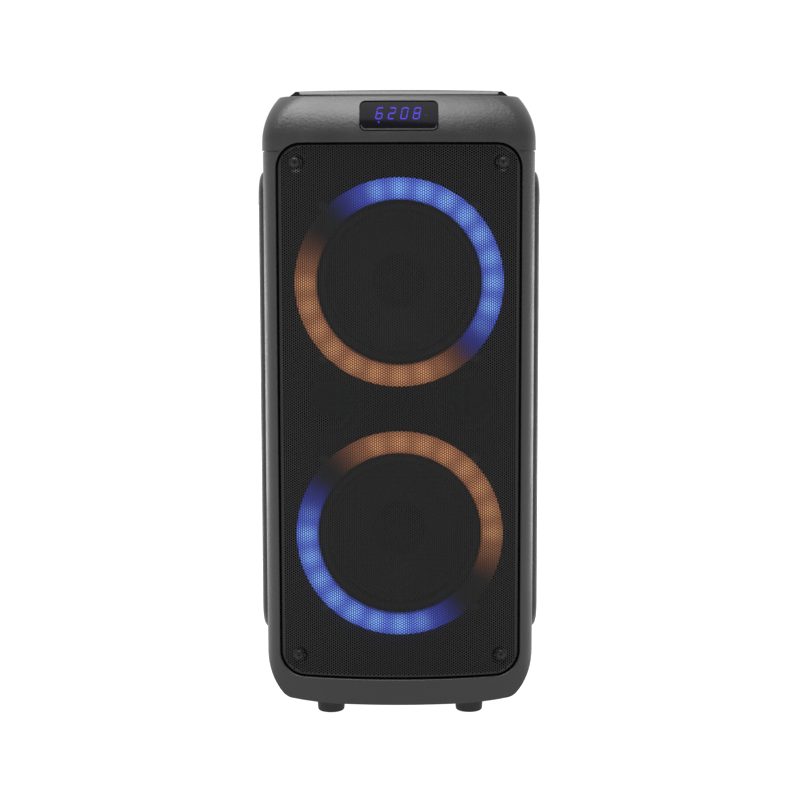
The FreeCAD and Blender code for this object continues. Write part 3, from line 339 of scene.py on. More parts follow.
def make_finishes():
    """One material for each slot of the record. The two rings get their own on top."""
    return {
        "shell_plastic": moulded("shell_plastic", 0.011, 0.4, grain=0.26 * MM, grain_scale=330.0),
        "side_plastic": moulded("side_plastic", 0.011, 0.44, grain=0.2 * MM, grain_scale=330.0),
        "grille_steel": flat_paint("grille_steel", (0.0085, 0.0085, 0.0088), 0.42, 0.3),
        "black_screws": brushed("black_screws", (0.035, 0.035, 0.037), 0.42),
        "baffle_board": moulded("baffle_board", 0.003, 0.8, grain_scale=500.0, specular=0.1),
        "ring_diffuser": moulded("ring_diffuser", 0.12, 0.45),
        "circuit_board": circuit_board("circuit_board"),
        "port_plastic": moulded("port_plastic", 0.003, 0.6, specular=0.12),
        "window_plastic": window_face("window_plastic"),
        "window_rim": flat_paint("window_rim", (0.006, 0.006, 0.006), 0.45, 0.2),
        "module_plastic": moulded("module_plastic", 0.015, 0.5),
        "deck_plastic": moulded("deck_plastic", 0.014, 0.42),
        "handle_plastic": moulded("handle_plastic", 0.05, 0.4, grain_scale=700.0),
        "gloss_trim": flat_paint("gloss_trim", (0.006, 0.006, 0.006), 0.2, 0.3),
        "control_rubber": moulded("control_rubber", 0.02, 0.62),
        "knob_plastic": moulded("knob_plastic", 0.016, 0.4),
        "panel_plastic": moulded("panel_plastic", 0.012, 0.45),
        "socket_metal": brushed("socket_metal", (0.6, 0.6, 0.62), 0.28),
        "rocker_plastic": moulded("rocker_plastic", 0.01, 0.3),
        "battery_wrap": flat_paint("battery_wrap", (0.02, 0.06, 0.16), 0.3),
        "foot_rubber": moulded("foot_rubber", 0.012, 0.75, grain_scale=700.0),
        "basket_steel": moulded("basket_steel", 0.008, 0.6, specular=0.2),
        "pole_steel": brushed("pole_steel", (0.5, 0.5, 0.52), 0.35),
        "ferrite": moulded("ferrite", 0.03, 0.6),
        "coil_copper": brushed("coil_copper", (0.8, 0.38, 0.2), 0.3),
        "spider_cloth": woven("spider_cloth", (0.35, 0.17, 0.05)),
        "cone_paper": paper("cone_paper", 0.010, 0.3),
        "cap_paper": paper("cap_paper", 0.003, 0.2),
        "surround_rubber": moulded("surround_rubber", 0.006, 0.6, grain_scale=900.0, specular=0.3),
        "white_print": flat_paint("white_print", (0.55, 0.55, 0.56), 0.5),
    }


# Meshes


def add_mesh(name, vertices, faces, material, smooth=40.0):
    mesh = bpy.data.meshes.new(name)
    mesh.from_pydata(vertices, [], faces)
    mesh.validate()
    mesh.materials.append(material)
    if smooth:
        mesh.shade_smooth()
        mesh.set_sharp_from_angle(angle=math.radians(smooth))
    piece = bpy.data.objects.new(name, mesh)
    bpy.context.scene.collection.objects.link(piece)
    return piece


def loft(rings, closed_ends=False, joined=False):
    """Vertices and faces over equal rings of points; joined ties the last ring to the first."""
    count = len(rings[0])
    vertices = [point for ring in rings for point in ring]
    faces = []
    pairs = list(zip(range(len(rings) - 1), range(1, len(rings))))
    if joined:
        pairs.append((len(rings) - 1, 0))
    for a, b in pairs:
        for i in range(count):
            k = (i + 1) % count
            faces.append((a * count + i, a * count + k, b * count + k, b * count + i))
    if closed_ends:
        faces.append(tuple(reversed(range(count))))
        last = (len(rings) - 1) * count
        faces.append(tuple(range(last, last + count)))
    return vertices, faces


def turned(name, profile, centre, turn, material, steps=96, smooth=40.0):
    """A closed profile of (radius, height) turned about its height axis."""
    matrix = Matrix.Translation(centre) @ turn
    rings = []
    for k in range(steps):
        angle = 2 * math.pi * k / steps
        rings.append([
            matrix @ Vector((r * math.cos(angle), r * math.sin(angle), h)) for r, h in profile
        ])
    vertices, faces = loft(rings, joined=True)
    piece = add_mesh(name, vertices, faces, material, smooth)
    tidy_mesh(piece)
    return piece


def tidy_mesh(piece):
    """Merges the points that meet on an axis, and turns every face outwards."""
    mesh = bmesh.new()
    mesh.from_mesh(piece.data)
    bmesh.ops.remove_doubles(mesh, verts=mesh.verts, dist=1e-7)
    bmesh.ops.dissolve_degenerate(mesh, edges=mesh.edges, dist=1e-8)
    bmesh.ops.recalc_face_normals(mesh, faces=mesh.faces)
    mesh.to_mesh(piece.data)
    mesh.free()


def arc(centre, radius, start, end, steps):
    """Points on an arc, the angles in degrees."""
    return [
        (
            centre[0] + radius * math.cos(math.radians(start + (end - start) * k / steps)),
            centre[1] + radius * math.sin(math.radians(start + (end - start) * k / steps)),
        )
        for k in range(steps + 1)
    ]


def in_metres(points):
    return [(a * MM, b * MM) for a, b in points]


def ride_on(piece, body, slot=None, *nodes):
    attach(piece, body)
    if nodes:
        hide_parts(*nodes)
    return piece


# Grille

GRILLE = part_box("front_grille")
GRILLE_WIDE = GRILLE[1].x
GRILLE_LOW, GRILLE_HIGH = GRILLE[0].z, GRILLE[1].z
GRILLE_FRONT = GRILLE[0].y
GRILLE_CORNER = 23.6 * MM
BOW_RADIUS = 382.5 * MM
BOW_AXIS = GRILLE_FRONT + BOW_RADIUS
HOLE_PITCH = 2.6 * MM
HOLE_RADIUS = 1.04 * MM
SHEET = 0.6 * MM
RIM_BAND = 1.0 * MM
SEAT_DEPTH = -115.2 * MM
SEAT_RADIUS = 5.6 * MM
SEAT_RIM = 11.5 * MM
SEAT_SIDE, SEAT_LOW, SEAT_HIGH = 106.0 * MM, 62.7 * MM, 576.0 * MM
SEATS = [(x, z) for x in (-SEAT_SIDE, SEAT_SIDE) for z in (SEAT_LOW, SEAT_HIGH)]
BANDS = 5


def edge_distance(x, z):
    """How far points lie inside the grille's outline."""
    middle = (GRILLE_LOW + GRILLE_HIGH) / 2
    half = (GRILLE_HIGH - GRILLE_LOW) / 2
    qx = np.abs(x) - (GRILLE_WIDE - GRILLE_CORNER)
    qz = np.abs(z - middle) - (half - GRILLE_CORNER)
    outside = np.hypot(np.maximum(qx, 0), np.maximum(qz, 0))
    return GRILLE_CORNER - outside - np.minimum(np.maximum(qx, qz), 0)


def pull_inside(x, z, inset):
    """Moves points that lie outside the inset outline onto it."""
    middle = (GRILLE_LOW + GRILLE_HIGH) / 2
    half = (GRILLE_HIGH - GRILLE_LOW) / 2
    core_x, core_z = GRILLE_WIDE - GRILLE_CORNER, half - GRILLE_CORNER
    radius = GRILLE_CORNER - inset
    nearest_x = np.clip(x, -core_x, core_x)
    nearest_z = np.clip(z - middle, -core_z, core_z)
    away_x, away_z = x - nearest_x, z - middle - nearest_z
    length = np.hypot(away_x, away_z)
    share = np.where(length > radius, radius / np.maximum(length, 1e-12), 1.0)
    return nearest_x + away_x * share, middle + nearest_z + away_z * share


def bow_y(x):
    return BOW_AXIS - np.sqrt(BOW_RADIUS**2 - x**2)


def sheet_y(x, z):
    """The grille's front face: the bow, pressed in at each screw seat."""
    y = bow_y(x)
    for seat_x, seat_z in SEATS:
        reach = np.hypot(x - seat_x, z - seat_z)
        share = np.clip((SEAT_RIM - reach) / (SEAT_RIM - SEAT_RADIUS), 0, 1)
        y = y + (SEAT_DEPTH - y) * share**2 * (3 - 2 * share)
    return y


def lattice():
    """Centres of the staggered holes over the flat sheet, as (along the bow, up)."""
    column = HOLE_PITCH * math.sqrt(3) / 2
    reach = BOW_RADIUS * math.asin(GRILLE_WIDE / BOW_RADIUS)
    columns = np.arange(-math.ceil(reach / column), math.ceil(reach / column) + 1)
    rows = np.arange(0, math.ceil((GRILLE_HIGH - GRILLE_LOW) / HOLE_PITCH) + 1)
    i, j = np.meshgrid(columns, rows, indexing="ij")
    u = i * column
    v = GRILLE_LOW + (j + 0.5 * (i % 2)) * HOLE_PITCH
    return u.ravel(), v.ravel()


def make_grille_sheet(material):
    """The perforated sheet, in bands that each close on themselves."""
    u, v = lattice()
    x = BOW_RADIUS * np.sin(u / BOW_RADIUS)
    inside = edge_distance(x, v)
    keep = inside > -0.3 * HOLE_PITCH
    u, v, inside, x = u[keep], v[keep], inside[keep], x[keep]
    open_cell = inside > RIM_BAND + HOLE_RADIUS
    for seat_x, seat_z in SEATS:
        open_cell &= np.hypot(x - seat_x, v - seat_z) > SEAT_RADIUS + 0.6 * MM
    edges = np.linspace(GRILLE_LOW - HOLE_PITCH, GRILLE_HIGH + HOLE_PITCH, BANDS + 1)
    for band in range(BANDS):
        here = (v >= edges[band]) & (v < edges[band + 1])
        vertices, faces = sheet_cells(u[here], v[here], open_cell[here])
        piece = add_mesh(f"grille_sheet_{band + 1}", vertices, faces, material, smooth=None)
        ride_on(piece, "cabinet", "grille_steel", "front_grille")


def sheet_cells(u, v, open_cell):
    """Hexagonal cells, each with or without its hole, as a closed sheet."""
    side = HOLE_PITCH / math.sqrt(3)
    steps = np.arange(6) * math.pi / 3
    corner_u = u[:, None] + side * np.cos(steps)
    corner_v = v[:, None] + side * np.sin(steps)
    keys = np.stack([
        np.round(corner_u / (side / 2)).astype(int),
        np.round((corner_v - GRILLE_LOW) / (HOLE_PITCH / 2)).astype(int),
    ], axis=-1).reshape(-1, 2)
    _, first, index = np.unique(keys, axis=0, return_index=True, return_inverse=True)
    corners = index.reshape(-1, 6)
    flat_u = corner_u.ravel()[first]
    flat_v = corner_v.ravel()[first]
    hole_u = u[open_cell][:, None] + HOLE_RADIUS * np.cos(steps)
    hole_v = v[open_cell][:, None] + HOLE_RADIUS * np.sin(steps)
    all_u = np.concatenate([flat_u, hole_u.ravel()])
    all_v = np.concatenate([flat_v, hole_v.ravel()])
    holes = len(flat_u) + np.arange(hole_u.size).reshape(-1, 6)
    turn = all_u / BOW_RADIUS
    x, z = pull_inside(BOW_RADIUS * np.sin(turn), all_v, RIM_BAND / 2)
    y = sheet_y(x, z)
    slant = np.arcsin(x / BOW_RADIUS)
    front = np.stack([x, y, z], axis=-1)
    back = front + SHEET * np.stack([-np.sin(slant), np.cos(slant), 0 * x], axis=-1)
    count = len(front)
    faces = []
    solid = corners[~open_cell]
    faces += solid.tolist()
    faces += (solid[:, ::-1] + count).tolist()
    ring = corners[open_cell]
    after = np.roll(np.arange(6), -1)
    face = np.stack([ring, ring[:, after], holes[:, after], holes], axis=-1).reshape(-1, 4)
    wall = np.stack([holes, holes[:, after], holes[:, after] + count, holes + count], axis=-1)
    faces += face.tolist()
    faces += (face[:, ::-1] + count).tolist()
    faces += wall.reshape(-1, 4).tolist()
    pairs = np.stack([corners, corners[:, after]], axis=-1).reshape(-1, 2)
    known = set(map(tuple, pairs.tolist()))
    for a, b in known:
        if (b, a) not in known:
            faces.append((b, a, a + count, b + count))
    return np.concatenate([front, back]).tolist(), faces


def outline_points(inset, steps=14, side_steps=24):
    """Points round the grille's outline, seen from the front, moved inwards by inset."""
    wide, corner = GRILLE_WIDE - inset, GRILLE_CORNER - inset
    low, high = GRILLE_LOW + inset, GRILLE_HIGH - inset
    centres = [
        (wide - corner, low + corner, -90),
        (wide - corner, high - corner, 0),
        (-wide + corner, high - corner, 90),
        (-wide + corner, low + corner, 180),
    ]
    points = []
    for index, (x, z, start) in enumerate(centres):
        turn = arc((x, z), corner, start, start + 90, steps)
        points += turn
        ahead = centres[(index + 1) % 4]
        target = arc(ahead[:2], corner, ahead[2], ahead[2] + 90, steps)[0]
        for k in range(1, side_steps):
            share = k / side_steps
            points.append(tuple(a + (b - a) * share for a, b in zip(turn[-1], target)))
    return points


def make_grille_rim(material):
    """The turned edge of the sheet: a narrow band, a soft corner and a wall behind it."""
    profile = in_metres([
        (1.0, -0.03), (0.5, -0.03), (0.1, 0.08), (-0.15, 0.3), (-0.25, 0.7), (-0.25, 5.0),
        (1.0, 5.0),
    ])
    rings = []
    for inset, depth in profile:
        rings.append([(x, float(bow_y(x)) + depth, z) for x, z in outline_points(inset)])
    vertices, faces = loft(rings, joined=True)
    piece = add_mesh("grille_rim", vertices, faces, material)
    tidy_mesh(piece)
    ride_on(piece, "cabinet", "grille_steel", "front_grille")


# Screws: the radius and height of each kind of head, and where the rear ones are

GRILLE_SCREW = (4.75 * MM, 2.6 * MM)
FOOT_SCREW = (4.2 * MM, 2.6 * MM)
SHELL_SCREW = (3.5 * MM, 1.6 * MM)
PANEL_SCREW = (3.2 * MM, 1.4 * MM)
SHELL_SCREW_SIDE, SHELL_SCREW_HEIGHTS = 112 * MM, (70 * MM, 300 * MM, 560 * MM)
PANEL_SCREW_SIDE, PANEL_SCREW_HEIGHTS = 54 * MM, (406 * MM, 514 * MM)
FOOT_SCREW_SEAT = 5 * MM
SHELL_SCREW_SINK = 1.8 * MM


def carve(piece, cutter):
    """Cuts a mesh away from a piece for good."""
    modifier = piece.modifiers.new("Carve", "BOOLEAN")
    modifier.operation = "DIFFERENCE"
    modifier.solver = "EXACT"
    modifier.object = cutter
    bpy.context.view_layer.update()
    evaluated = piece.evaluated_get(bpy.context.evaluated_depsgraph_get())
    mesh = bpy.data.meshes.new_from_object(evaluated)
    piece.modifiers.remove(modifier)
    piece.data = mesh
    bpy.data.objects.remove(cutter)
    mesh.shade_smooth()
    mesh.set_sharp_from_angle(angle=math.radians(35))


def cross_cutter(radius, width, depth, centre, turn):
    """A tapered cross, to sink a driver's recess."""
    matrix = Matrix.Translation(centre) @ turn
    outline = []
    for k in range(4):
        spin = Matrix.Rotation(math.pi / 2 * k, 2)
        for x, y in ((radius, -width / 2), (radius, width / 2), (width / 2, width / 2)):
            outline.append(spin @ Vector((x, y)))
    rings = []
    for share, h in ((0.45, -depth), (1.0, 0.6 * MM)):
        rings.append([matrix @ Vector((p.x * share, p.y * share, h)) for p in outline])
    vertices, faces = loft(rings, closed_ends=True)
    cutter = add_mesh("cutter", vertices, faces, FINISHES["black_screws"], None)
    tidy_mesh(cutter)
    return cutter


def pan_screw(name, centre, turn, radius, height, material):
    """A domed screw head with a cross recess and a short shank."""
    crown = height * 0.35
    dome = (radius * 0.92) ** 2 / (2 * crown) + crown / 2
    top = [(0.0, height)]
    for k in range(1, 9):
        r = radius * 0.92 * k / 8
        top.append((r, height - dome + math.sqrt(dome**2 - r**2)))
    profile = top + [
        (radius, height * 0.5),
        (radius, 0.0),
        (radius * 0.45, 0.0),
        (radius * 0.45, -4 * height),
        (0.0, -4 * height),
    ]
    piece = turned(name, profile, centre, turn, material, steps=48)
    lifted = Matrix.Translation(centre) @ turn @ Vector((0, 0, height))
    carve(piece, cross_cutter(radius * 0.55, radius * 0.2, height * 0.75, lifted, turn))
    return piece


def make_grille_screws():
    for index, (x, z) in enumerate(SEATS):
        centre = Vector((x, SEAT_DEPTH, z))
        piece = pan_screw(
            f"grille_screw_{index + 1}", centre, FORWARD, *GRILLE_SCREW, FINISHES["black_screws"]
        )
        ride_on(piece, "cabinet", "black_screws", "grille_screws")


def make_cabinet_screws():
    """The screws under the feet, in the shell's back and round the input panel."""
    spots = []
    for name in ("foot_front_left", "foot_front_right", "foot_rear_left", "foot_rear_right"):
        low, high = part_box(name)
        centre = Vector(((low.x + high.x) / 2, (low.y + high.y) / 2, FOOT_SCREW_SEAT))
        spots.append((centre, DOWNWARD, *FOOT_SCREW))
    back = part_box("rear_shell")[1].y - SHELL_SCREW_SINK
    for x in (-SHELL_SCREW_SIDE, SHELL_SCREW_SIDE):
        for z in SHELL_SCREW_HEIGHTS:
            spots.append((Vector((x, back, z)), BACKWARD, *SHELL_SCREW))
    for x in (-PANEL_SCREW_SIDE, PANEL_SCREW_SIDE):
        for z in PANEL_SCREW_HEIGHTS:
            spots.append((Vector((x, PANEL_FACE, z)), BACKWARD, *PANEL_SCREW))
    for index, (centre, turn, radius, height) in enumerate(spots):
        piece = pan_screw(
            f"cabinet_screw_{index + 1}", centre, turn, radius, height, FINISHES["black_screws"]
        )
        ride_on(piece, "cabinet", "black_screws", "cabinet_screws")


# Woofers


def woofer_centre(which):
    low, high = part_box(f"light_ring_{which}")
    return Vector((0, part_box("upper_woofer_basket")[0].y + 2.5 * MM, (low.z + high.z) / 2))


def make_woofers():
    for which in WOOFERS:
        centre = woofer_centre(which)
        body = f"{which}_woofer_cone"
        cone = turned(
            f"{which}_cone_paper", cone_profile(), centre, FORWARD, FINISHES["cone_paper"]
        )
        ride_on(cone, body, "cone_paper", f"{which}_woofer_cone")
        cap = turned(f"{which}_dust_dome", cap_profile(), centre, FORWARD, FINISHES["cap_paper"])
        ride_on(cap, body, "cap_paper", f"{which}_woofer_dust_cap")
        roll = turned(
            f"{which}_surround_roll", roll_profile(), centre, FORWARD, FINISHES["surround_rubber"]
        )
        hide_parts(f"{which}_woofer_surround")
        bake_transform(roll)


def cone_profile():
    """A curved paper cone with three pressed ribs and a flat lip under the surround."""
    inner, outer = (19.5, -32.4), (70.5, -4.2)
    face = []
    for k in range(33):
        share = k / 32
        r = inner[0] + (outer[0] - inner[0]) * share
        sag = 2.6 * math.sin(math.pi * share)
        rib = sum(0.45 * math.exp(-(((r - at) / 0.9) ** 2)) for at in (48.0, 54.0, 60.0))
        face.append((r, inner[1] + (outer[1] - inner[1]) * share - sag + rib))
    face.append((73.5, -3.9))
    back = [(r, h - 0.7) for r, h in reversed(face)]
    return in_metres(face + back)


def cap_profile():
    """A dust cap: a shallow dome with a glued rim."""
    dome = [(27.0 * k / 16, -27.3 + 8.3 * (1 - (k / 16) ** 2)) for k in range(16)]
    rim = [(27.0, -27.1), (28.2, -27.4), (28.2, -28.0), (26.4, -28.0)]
    under = [(r, h - 0.8) for r, h in reversed(dome[:-1])]
    return in_metres(dome + rim + under)


def roll_profile():
    """A half roll between the cone's lip and the basket."""
    middle = (78.6, -0.6)
    top = [(71.3, -2.9), (72.6, -2.9)]
    top += arc(middle, 5.6, 195, 15, 20)
    top += [(84.6, 2.9), (90.5, 3.2)]
    under = [(90.5, 2.6), (84.4, 2.3), (83.6, 0.9)]
    under += arc(middle, 4.9, 15, 190, 20)
    under += [(73.0, -3.5), (71.3, -3.5)]
    return in_metres(top + under)


# Display

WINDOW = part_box("display_window")
SEGMENTS = {"0": "abcdef", "2": "abged", "6": "afgedc", "8": "abcdefg"}
DIGITS = "6208"
DIGIT_PITCH = 12.6 * MM
DIGIT_WIDE = 7.0 * MM
DIGIT_TALL = 12.2 * MM
DIGIT_SLANT = 0.2
STROKE = 1.15 * MM
DIGITS_LEFT, DIGITS_DROP = -23.6 * MM, 18.6 * MM


def bar(start, end, width):
    """A lit segment with pointed ends, as an outline from start to end."""
    start, end = Vector(start), Vector(end)
    along = (end - start).normalized()
    across = Vector((-along.y, along.x)) * width / 2
    nose = along * width / 2
    start, end = start + along * width * 0.12, end - along * width * 0.12
    return [
        start, start + nose + across, end - nose + across, end, end - nose - across,
        start + nose - across,
    ]


def segment_bars():
    w, h = DIGIT_WIDE - STROKE, (DIGIT_TALL - STROKE) / 2
    return {
        "a": ((0, 2 * h), (w, 2 * h)),
        "b": ((w, h), (w, 2 * h)),
        "c": ((w, 0), (w, h)),
        "d": ((0, 0), (w, 0)),
        "e": ((0, 0), (0, h)),
        "f": ((0, h), (0, 2 * h)),
        "g": ((0, h), (w, h)),
    }


def make_display(surface):
    """Four slanted digits, a point and a dim dash on the window's curved face."""
    lit = glow("display_lit", (0.09, 0.045, 0.86), 1.05)
    dim = glow("display_dim", (0.08, 0.05, 0.7), 0.12)
    low = WINDOW[1].z - DIGITS_DROP
    left = DIGITS_LEFT
    bars = segment_bars()
    for index, digit in enumerate(DIGITS):
        corner = left + index * DIGIT_PITCH
        outlines = []
        for letter in SEGMENTS[digit]:
            outline = bar(*bars[letter], STROKE)
            outlines.append([(corner + p.x + DIGIT_SLANT * p.y, low + p.y) for p in outline])
        place_marks(f"display_digit_{index + 1}", outlines, surface, lit)
    circle = arc((0, 0), 0.9 * MM, 0, 330, 11)
    dot = [(left + 3.2 * MM + x, low - 3.4 * MM + z) for x, z in circle]
    place_marks("display_point", [dot], surface, lit)
    end = left + 4 * DIGIT_PITCH - 1.2 * MM
    dash = [(p.x + end, p.y + low + 3.4 * MM) for p in bar((0, 0), (3.6 * MM, 0), 1.1 * MM)]
    place_marks("display_dash", [dash], surface, dim)


def make_window_edge(surface):
    """The window's lower edge: a bead that follows its face and turns up to the light."""
    corner, middle, half = 6.0 * MM, 4.2 * MM, 0.7 * MM
    section = ((half, -0.35 * MM), (-half, -0.03 * MM), (-half, 0.4 * MM), (half, 0.4 * MM))
    side, rise = WINDOW[1].x - corner, WINDOW[0].z + corner
    rings = []
    turns = [(-side, angle) for angle in range(180, 271, 10)]
    turns += [(-side + 2 * side * k / 24, 270) for k in range(1, 24)]
    turns += [(side, angle) for angle in range(270, 361, 10)]
    for x, angle in turns:
        along = Vector((math.cos(math.radians(angle)), math.sin(math.radians(angle))))
        ring = []
        for reach, lift in section:
            px, pz = x + along.x * (middle + reach), rise + along.y * (middle + reach)
            hit = surface.ray_cast(Vector((px, -1, pz)), Vector((0, 1, 0)))[0]
            ring.append((px, hit.y + lift, pz))
        rings.append(ring)
    vertices, faces = loft(rings, closed_ends=True)
    piece = add_mesh("window_edge", vertices, faces, FINISHES["window_rim"])
    tidy_mesh(piece)
    ride_on(piece, "cabinet", "window_plastic")


def glow(name, colour, strength):
    material = make_material(name, (0.004, 0.004, 0.01), 0.3, specular=0.05)
    shader = shader_of(material)
    shader.inputs["Emission Color"].default_value = (*colour, 1)
    shader.inputs["Emission Strength"].default_value = strength
    return material


def place_marks(name, outlines, surface, material, lift=0.06 * MM, depth=0.3 * MM):
    """Thin plates that follow the window's face."""
    vertices, faces = [], []
    for outline in outlines:
        base = len(vertices)
        count = len(outline)
        for offset in (-lift, depth):
            for x, z in outline:
                hit = surface.ray_cast(Vector((x, -1, z)), Vector((0, 1, 0)))[0]
                vertices.append((x, hit.y + offset, z))
        faces.append(tuple(range(base, base + count)))
        faces.append(tuple(reversed(range(base + count, base + 2 * count))))
        for i in range(count):
            k = (i + 1) % count
            faces.append((base + k, base + i, base + count + i, base + count + k))
    piece = add_mesh(name, vertices, faces, material, None)
    tidy_mesh(piece)
    return ride_on(piece, "cabinet", "window_plastic")


def surface_of(node):
    return BVHTree.FromObject(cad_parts[node], bpy.context.evaluated_depsgraph_get())


# Controls and printed marks

PANEL_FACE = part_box("input_panel")[1].y
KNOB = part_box("volume_knob")
KNOB_CENTRE = ((KNOB[0].x + KNOB[1].x) / 2, (KNOB[0].y + KNOB[1].y) / 2)
KNOB_SKIRT, DECK_TOP = 629.6, 629 * MM
TICKS = 11
# Where the marks over the sockets are: across and up
MIC_MARKS = ((-36 * MM, 505 * MM), (-12 * MM, 505 * MM))
LINE_MARK = (14 * MM, 503 * MM)
DATA_MARK = (38 * MM, 502 * MM)


def rectangle(left, low, right, high):
    return in_metres([(left, low), (right, low), (right, high), (left, high)])


def triangle(base, tip, half):
    return in_metres([(base, -half), (base, half), (tip, 0)])


def spoke(angle, inner, outer, width):
    """A radial bar; the angle is in degrees from local +Y."""
    spin = Matrix.Rotation(math.radians(angle), 2)
    return [tuple(spin @ Vector(point)) for point in rectangle(-width / 2, inner, width / 2, outer)]


def disc(x, y, radius, steps=20):
    return in_metres(arc((x, y), radius, 0, 360 - 360 / steps, steps - 1))


def microphone():
    capsule = arc((0, 2.0), 1.3, 0, 180, 8) + arc((0, -0.2), 1.3, 180, 360, 8)
    cradle = arc((0, -0.2), 2.6, 200, 340, 10) + arc((0, -0.2), 2.1, 340, 200, 10)
    return [in_metres(capsule), in_metres(cradle), rectangle(-0.3, -4.2, 0.3, -2.6)]


SYMBOLS = {
    "mode_button": [rectangle(-2.6, y - 0.4, 2.6, y + 0.4) for y in (-1.8, 0, 1.8)],
    "previous_button": [
        triangle(0.2, -2.6, 2.2), triangle(3.0, 0.2, 2.2), rectangle(-3.4, -2.2, -2.7, 2.2)
    ],
    "play_button": [
        triangle(-2.8, 1.0, 2.5), rectangle(1.7, -2.4, 2.4, 2.4), rectangle(3.1, -2.4, 3.8, 2.4)
    ],
    "next_button": [
        triangle(-0.2, 2.6, 2.2), triangle(-3.0, -0.2, 2.2), rectangle(2.7, -2.2, 3.4, 2.2)
    ],
    "light_button": [disc(0, 0, 1.3)] + [spoke(45 * k, 2.0, 3.3, 0.6) for k in range(8)],
    "mic_priority_button": microphone(),
}


def flat_marks(name, outlines, matrix, body, slot, rise=0.12 * MM, sink=0.1 * MM):
    """Printed marks: thin plates on a flat face, drawn in that face's own plane."""
    vertices, faces = [], []
    for outline in outlines:
        base, count = len(vertices), len(outline)
        for height in (rise, -sink):
            vertices += [matrix @ Vector((x, y, height)) for x, y in outline]
        faces.append(tuple(range(base, base + count)))
        faces.append(tuple(reversed(range(base + count, base + 2 * count))))
        for i in range(count):
            k = (i + 1) % count
            faces.append((base + k, base + i, base + count + i, base + count + k))
    piece = add_mesh(name, vertices, faces, FINISHES["white_print"], None)
    tidy_mesh(piece)
    ride_on(piece, body, slot)


def make_knob():
    """A knob with a fluted grip, a pointer and a scale of ticks round it."""
    low, top = KNOB_SKIRT, KNOB[1].z / MM
    foot = KNOB[0].z / MM
    profile = in_metres([
        (0, top - 0.5), (12.6, top - 0.5), (13.4, top), (15.4, top), (16.3, top - 0.5),
        (17, top - 1.6), (17, low + 0.8), (16.4, low), (14, low), (14, top - 4), (3, top - 4),
        (3, foot), (0, foot),
    ])
    centre = Vector((*KNOB_CENTRE, 0))
    knob = turned("knob_grip", profile, centre, Matrix(), FINISHES["knob_plastic"], steps=216)
    for vertex in knob.data.vertices:
        x, y = vertex.co.x - KNOB_CENTRE[0], vertex.co.y - KNOB_CENTRE[1]
        reach = math.hypot(x, y)
        if reach > 16.8 * MM:
            flute = 0.5 * MM * max(math.cos(36 * math.atan2(y, x)), 0) / reach
            vertex.co.x -= x * flute
            vertex.co.y -= y * flute
    ride_on(knob, "volume_knob", "knob_plastic", "volume_knob")
    top_face = Matrix.Translation((*KNOB_CENTRE, KNOB[1].z))
    pointer = [rectangle(-0.5, 13.6, 0.5, 15.3)]
    flat_marks("knob_pointer", pointer, top_face, "volume_knob", "knob_plastic")
    deck = Matrix.Translation((*KNOB_CENTRE, DECK_TOP))
    ticks = [spoke(-150 + 300 * k / (TICKS - 1), 19.5, 22.0, 0.5) for k in range(TICKS)]
    flat_marks("volume_scale", ticks, deck, "cabinet", "deck_plastic")


def on_panel(x, z):
    """The plane of a mark on the input panel's face."""
    return Matrix.Translation((x, PANEL_FACE, z)) @ BACKWARD


def make_symbols():
    for name, outlines in SYMBOLS.items():
        low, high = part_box(name)
        top_face = Matrix.Translation(((low.x + high.x) / 2, (low.y + high.y) / 2, high.z))
        flat_marks(f"{name}_symbol", outlines, top_face, name, "control_rubber")
    for index, place in enumerate(MIC_MARKS):
        face = on_panel(*place)
        flat_marks(f"mic_symbol_{index + 1}", microphone(), face, "cabinet", "panel_plastic")
    waves = [
        in_metres(arc((0, 0), r, 40, 140, 8) + arc((0, 0), r - 0.6, 140, 40, 8))
        for r in (2.2, 3.8)
    ]
    waves.append(disc(0, 0, 0.7))
    flat_marks("line_symbol", waves, on_panel(*LINE_MARK), "cabinet", "panel_plastic")
    stem = [rectangle(-3.4, -0.25, 3.0, 0.25), disc(-3.4, 0, 0.9), triangle(2.8, 4.4, 0.9)]
    flat_marks("data_symbol", stem, on_panel(*DATA_MARK), "cabinet", "panel_plastic")


# Stage

FLOOR_HALF = 40.0
# The floor's glow rises from the first value to the second between the two distances, on
# ovals that are this much tighter from front to back and lie a metre in front of the speaker
FLOOR_GLOW = (0.97, 1.45)
FLOOR_RAMP = (0.16, 0.75)
FLOOR_OVAL = 0.35
FRONT_WORLD, BACK_WORLD = 0.34, 1.05
WORLD_RAMP = (-0.6, 0.5)
LENS, SENSOR = 82.8, 36.0
CAMERA_PLACE = (0.00055, -2.004, 0.558)
# In degrees: how far the camera looks down, and its lean
CAMERA_DIP, CAMERA_ROLL = 6.82, -0.115


def glow_floor():
    """Pale paper that is lit from below as well, as a light table is, and more so further out."""
    material = flat_paint("floor_paper", (0.07, 0.07, 0.07), 0.95, 0.05)
    shader = shader_of(material)
    oval = add_node(material, "ShaderNodeVectorMath", operation="MULTIPLY_ADD")
    oval.inputs[1].default_value = (1, FLOOR_OVAL, 0)
    oval.inputs[2].default_value = (0, FLOOR_OVAL, 0)
    link(material, object_point(material), oval.inputs[0])
    reach = add_node(material, "ShaderNodeVectorMath", operation="LENGTH")
    link(material, oval.outputs["Vector"], reach.inputs[0])
    strength = spread(material, reach.outputs["Value"], *FLOOR_GLOW, *FLOOR_RAMP)
    shader.inputs["Emission Color"].default_value = (1, 1, 1, 1)
    link(material, strength, shader.inputs["Emission Strength"])
    return material


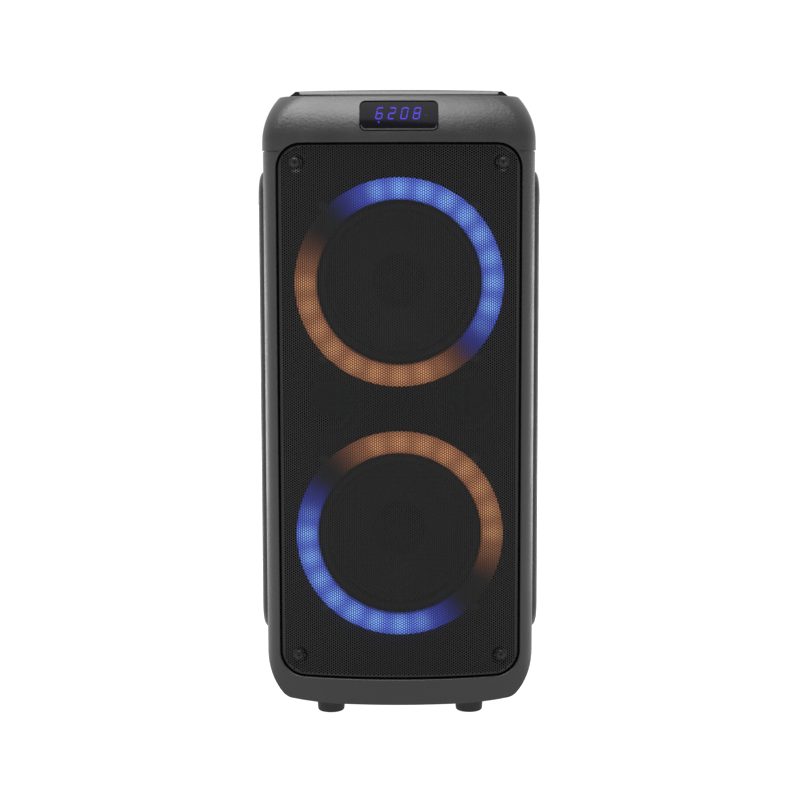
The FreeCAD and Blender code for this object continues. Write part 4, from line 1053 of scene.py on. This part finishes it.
def make_stage():
    size = FLOOR_HALF
    floor = add_mesh(
        "floor",
        [(-size, -size, 0), (size, -size, 0), (size, size, 0), (-size, size, 0)],
        [(0, 1, 2, 3)],
        glow_floor(),
        None,
    )
    world = bpy.data.worlds.new("studio")
    bpy.context.scene.world = world
    world.use_nodes = True
    nodes, links = world.node_tree.nodes, world.node_tree.links
    direction = nodes.new("ShaderNodeTexCoord")
    parts = nodes.new("ShaderNodeSeparateXYZ")
    links.new(direction.outputs["Generated"], parts.inputs[0])
    fade = nodes.new("ShaderNodeMapRange")
    fade.inputs["From Min"].default_value = WORLD_RAMP[0]
    fade.inputs["From Max"].default_value = WORLD_RAMP[1]
    fade.inputs["To Min"].default_value = FRONT_WORLD
    fade.inputs["To Max"].default_value = BACK_WORLD
    links.new(parts.outputs["Y"], fade.inputs["Value"])
    links.new(fade.outputs["Result"], nodes["Background"].inputs["Strength"])
    nodes["Background"].inputs["Color"].default_value = (1, 1, 1, 1)


def add_area(name, place, target, size, energy):
    light = bpy.data.lights.new(name, "AREA")
    light.shape = "RECTANGLE"
    light.size, light.size_y = size
    light.energy = energy
    lamp = bpy.data.objects.new(name, light)
    lamp.location = place
    lamp.rotation_euler = (Vector(target) - Vector(place)).to_track_quat("-Z", "Y").to_euler()
    bpy.context.scene.collection.objects.link(lamp)


def make_lights():
    add_area(
        "top_softbox", place=(-0.3, -0.68, 2.4), target=(0, 0, 0.6), size=(2.4, 1.5), energy=103
    )
    for side in (-1, 1):
        add_area(
            f"side_strip_{side + 2}",
            place=(0.78 * side, 0.6, 0.25),
            target=(0, 0, 0.25),
            size=(0.25, 0.5),
            energy=1.8,
        )


def make_camera():
    data = bpy.data.cameras.new("camera")
    data.lens = LENS
    data.sensor_width = SENSOR
    camera = bpy.data.objects.new("camera", data)
    camera.location = CAMERA_PLACE
    pitch = Matrix.Rotation(math.radians(90 - CAMERA_DIP), 3, "X")
    roll = Matrix.Rotation(math.radians(CAMERA_ROLL), 3, "Z")
    camera.rotation_euler = (pitch @ roll).to_euler()
    bpy.context.scene.collection.objects.link(camera)
    bpy.context.scene.camera = camera


FINISHES = make_finishes()


def dress_cad_nodes():
    """Gives every CAD node the finish of its slot, and each diffuser its own light."""
    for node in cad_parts.values():
        for slot in node.material_slots:
            slot.material = FINISHES[slot.material.name.split(".")[0]]
    for which in WOOFERS:
        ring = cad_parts[f"light_ring_{which}"]
        centre = woofer_centre(which)
        ring.material_slots[0].material = ring_light(
            f"ring_light_{which}", tuple(centre), *RING_ZONES[which]
        )


dress_cad_nodes()
make_grille_sheet(FINISHES["grille_steel"])
make_grille_rim(FINISHES["grille_steel"])
make_grille_screws()
make_cabinet_screws()
make_woofers()
make_display(surface_of("display_window"))
make_window_edge(surface_of("display_window"))
make_knob()
make_symbols()
make_stage()
make_lights()
make_camera()
bpy.context.scene.view_settings.view_transform = "Standard"
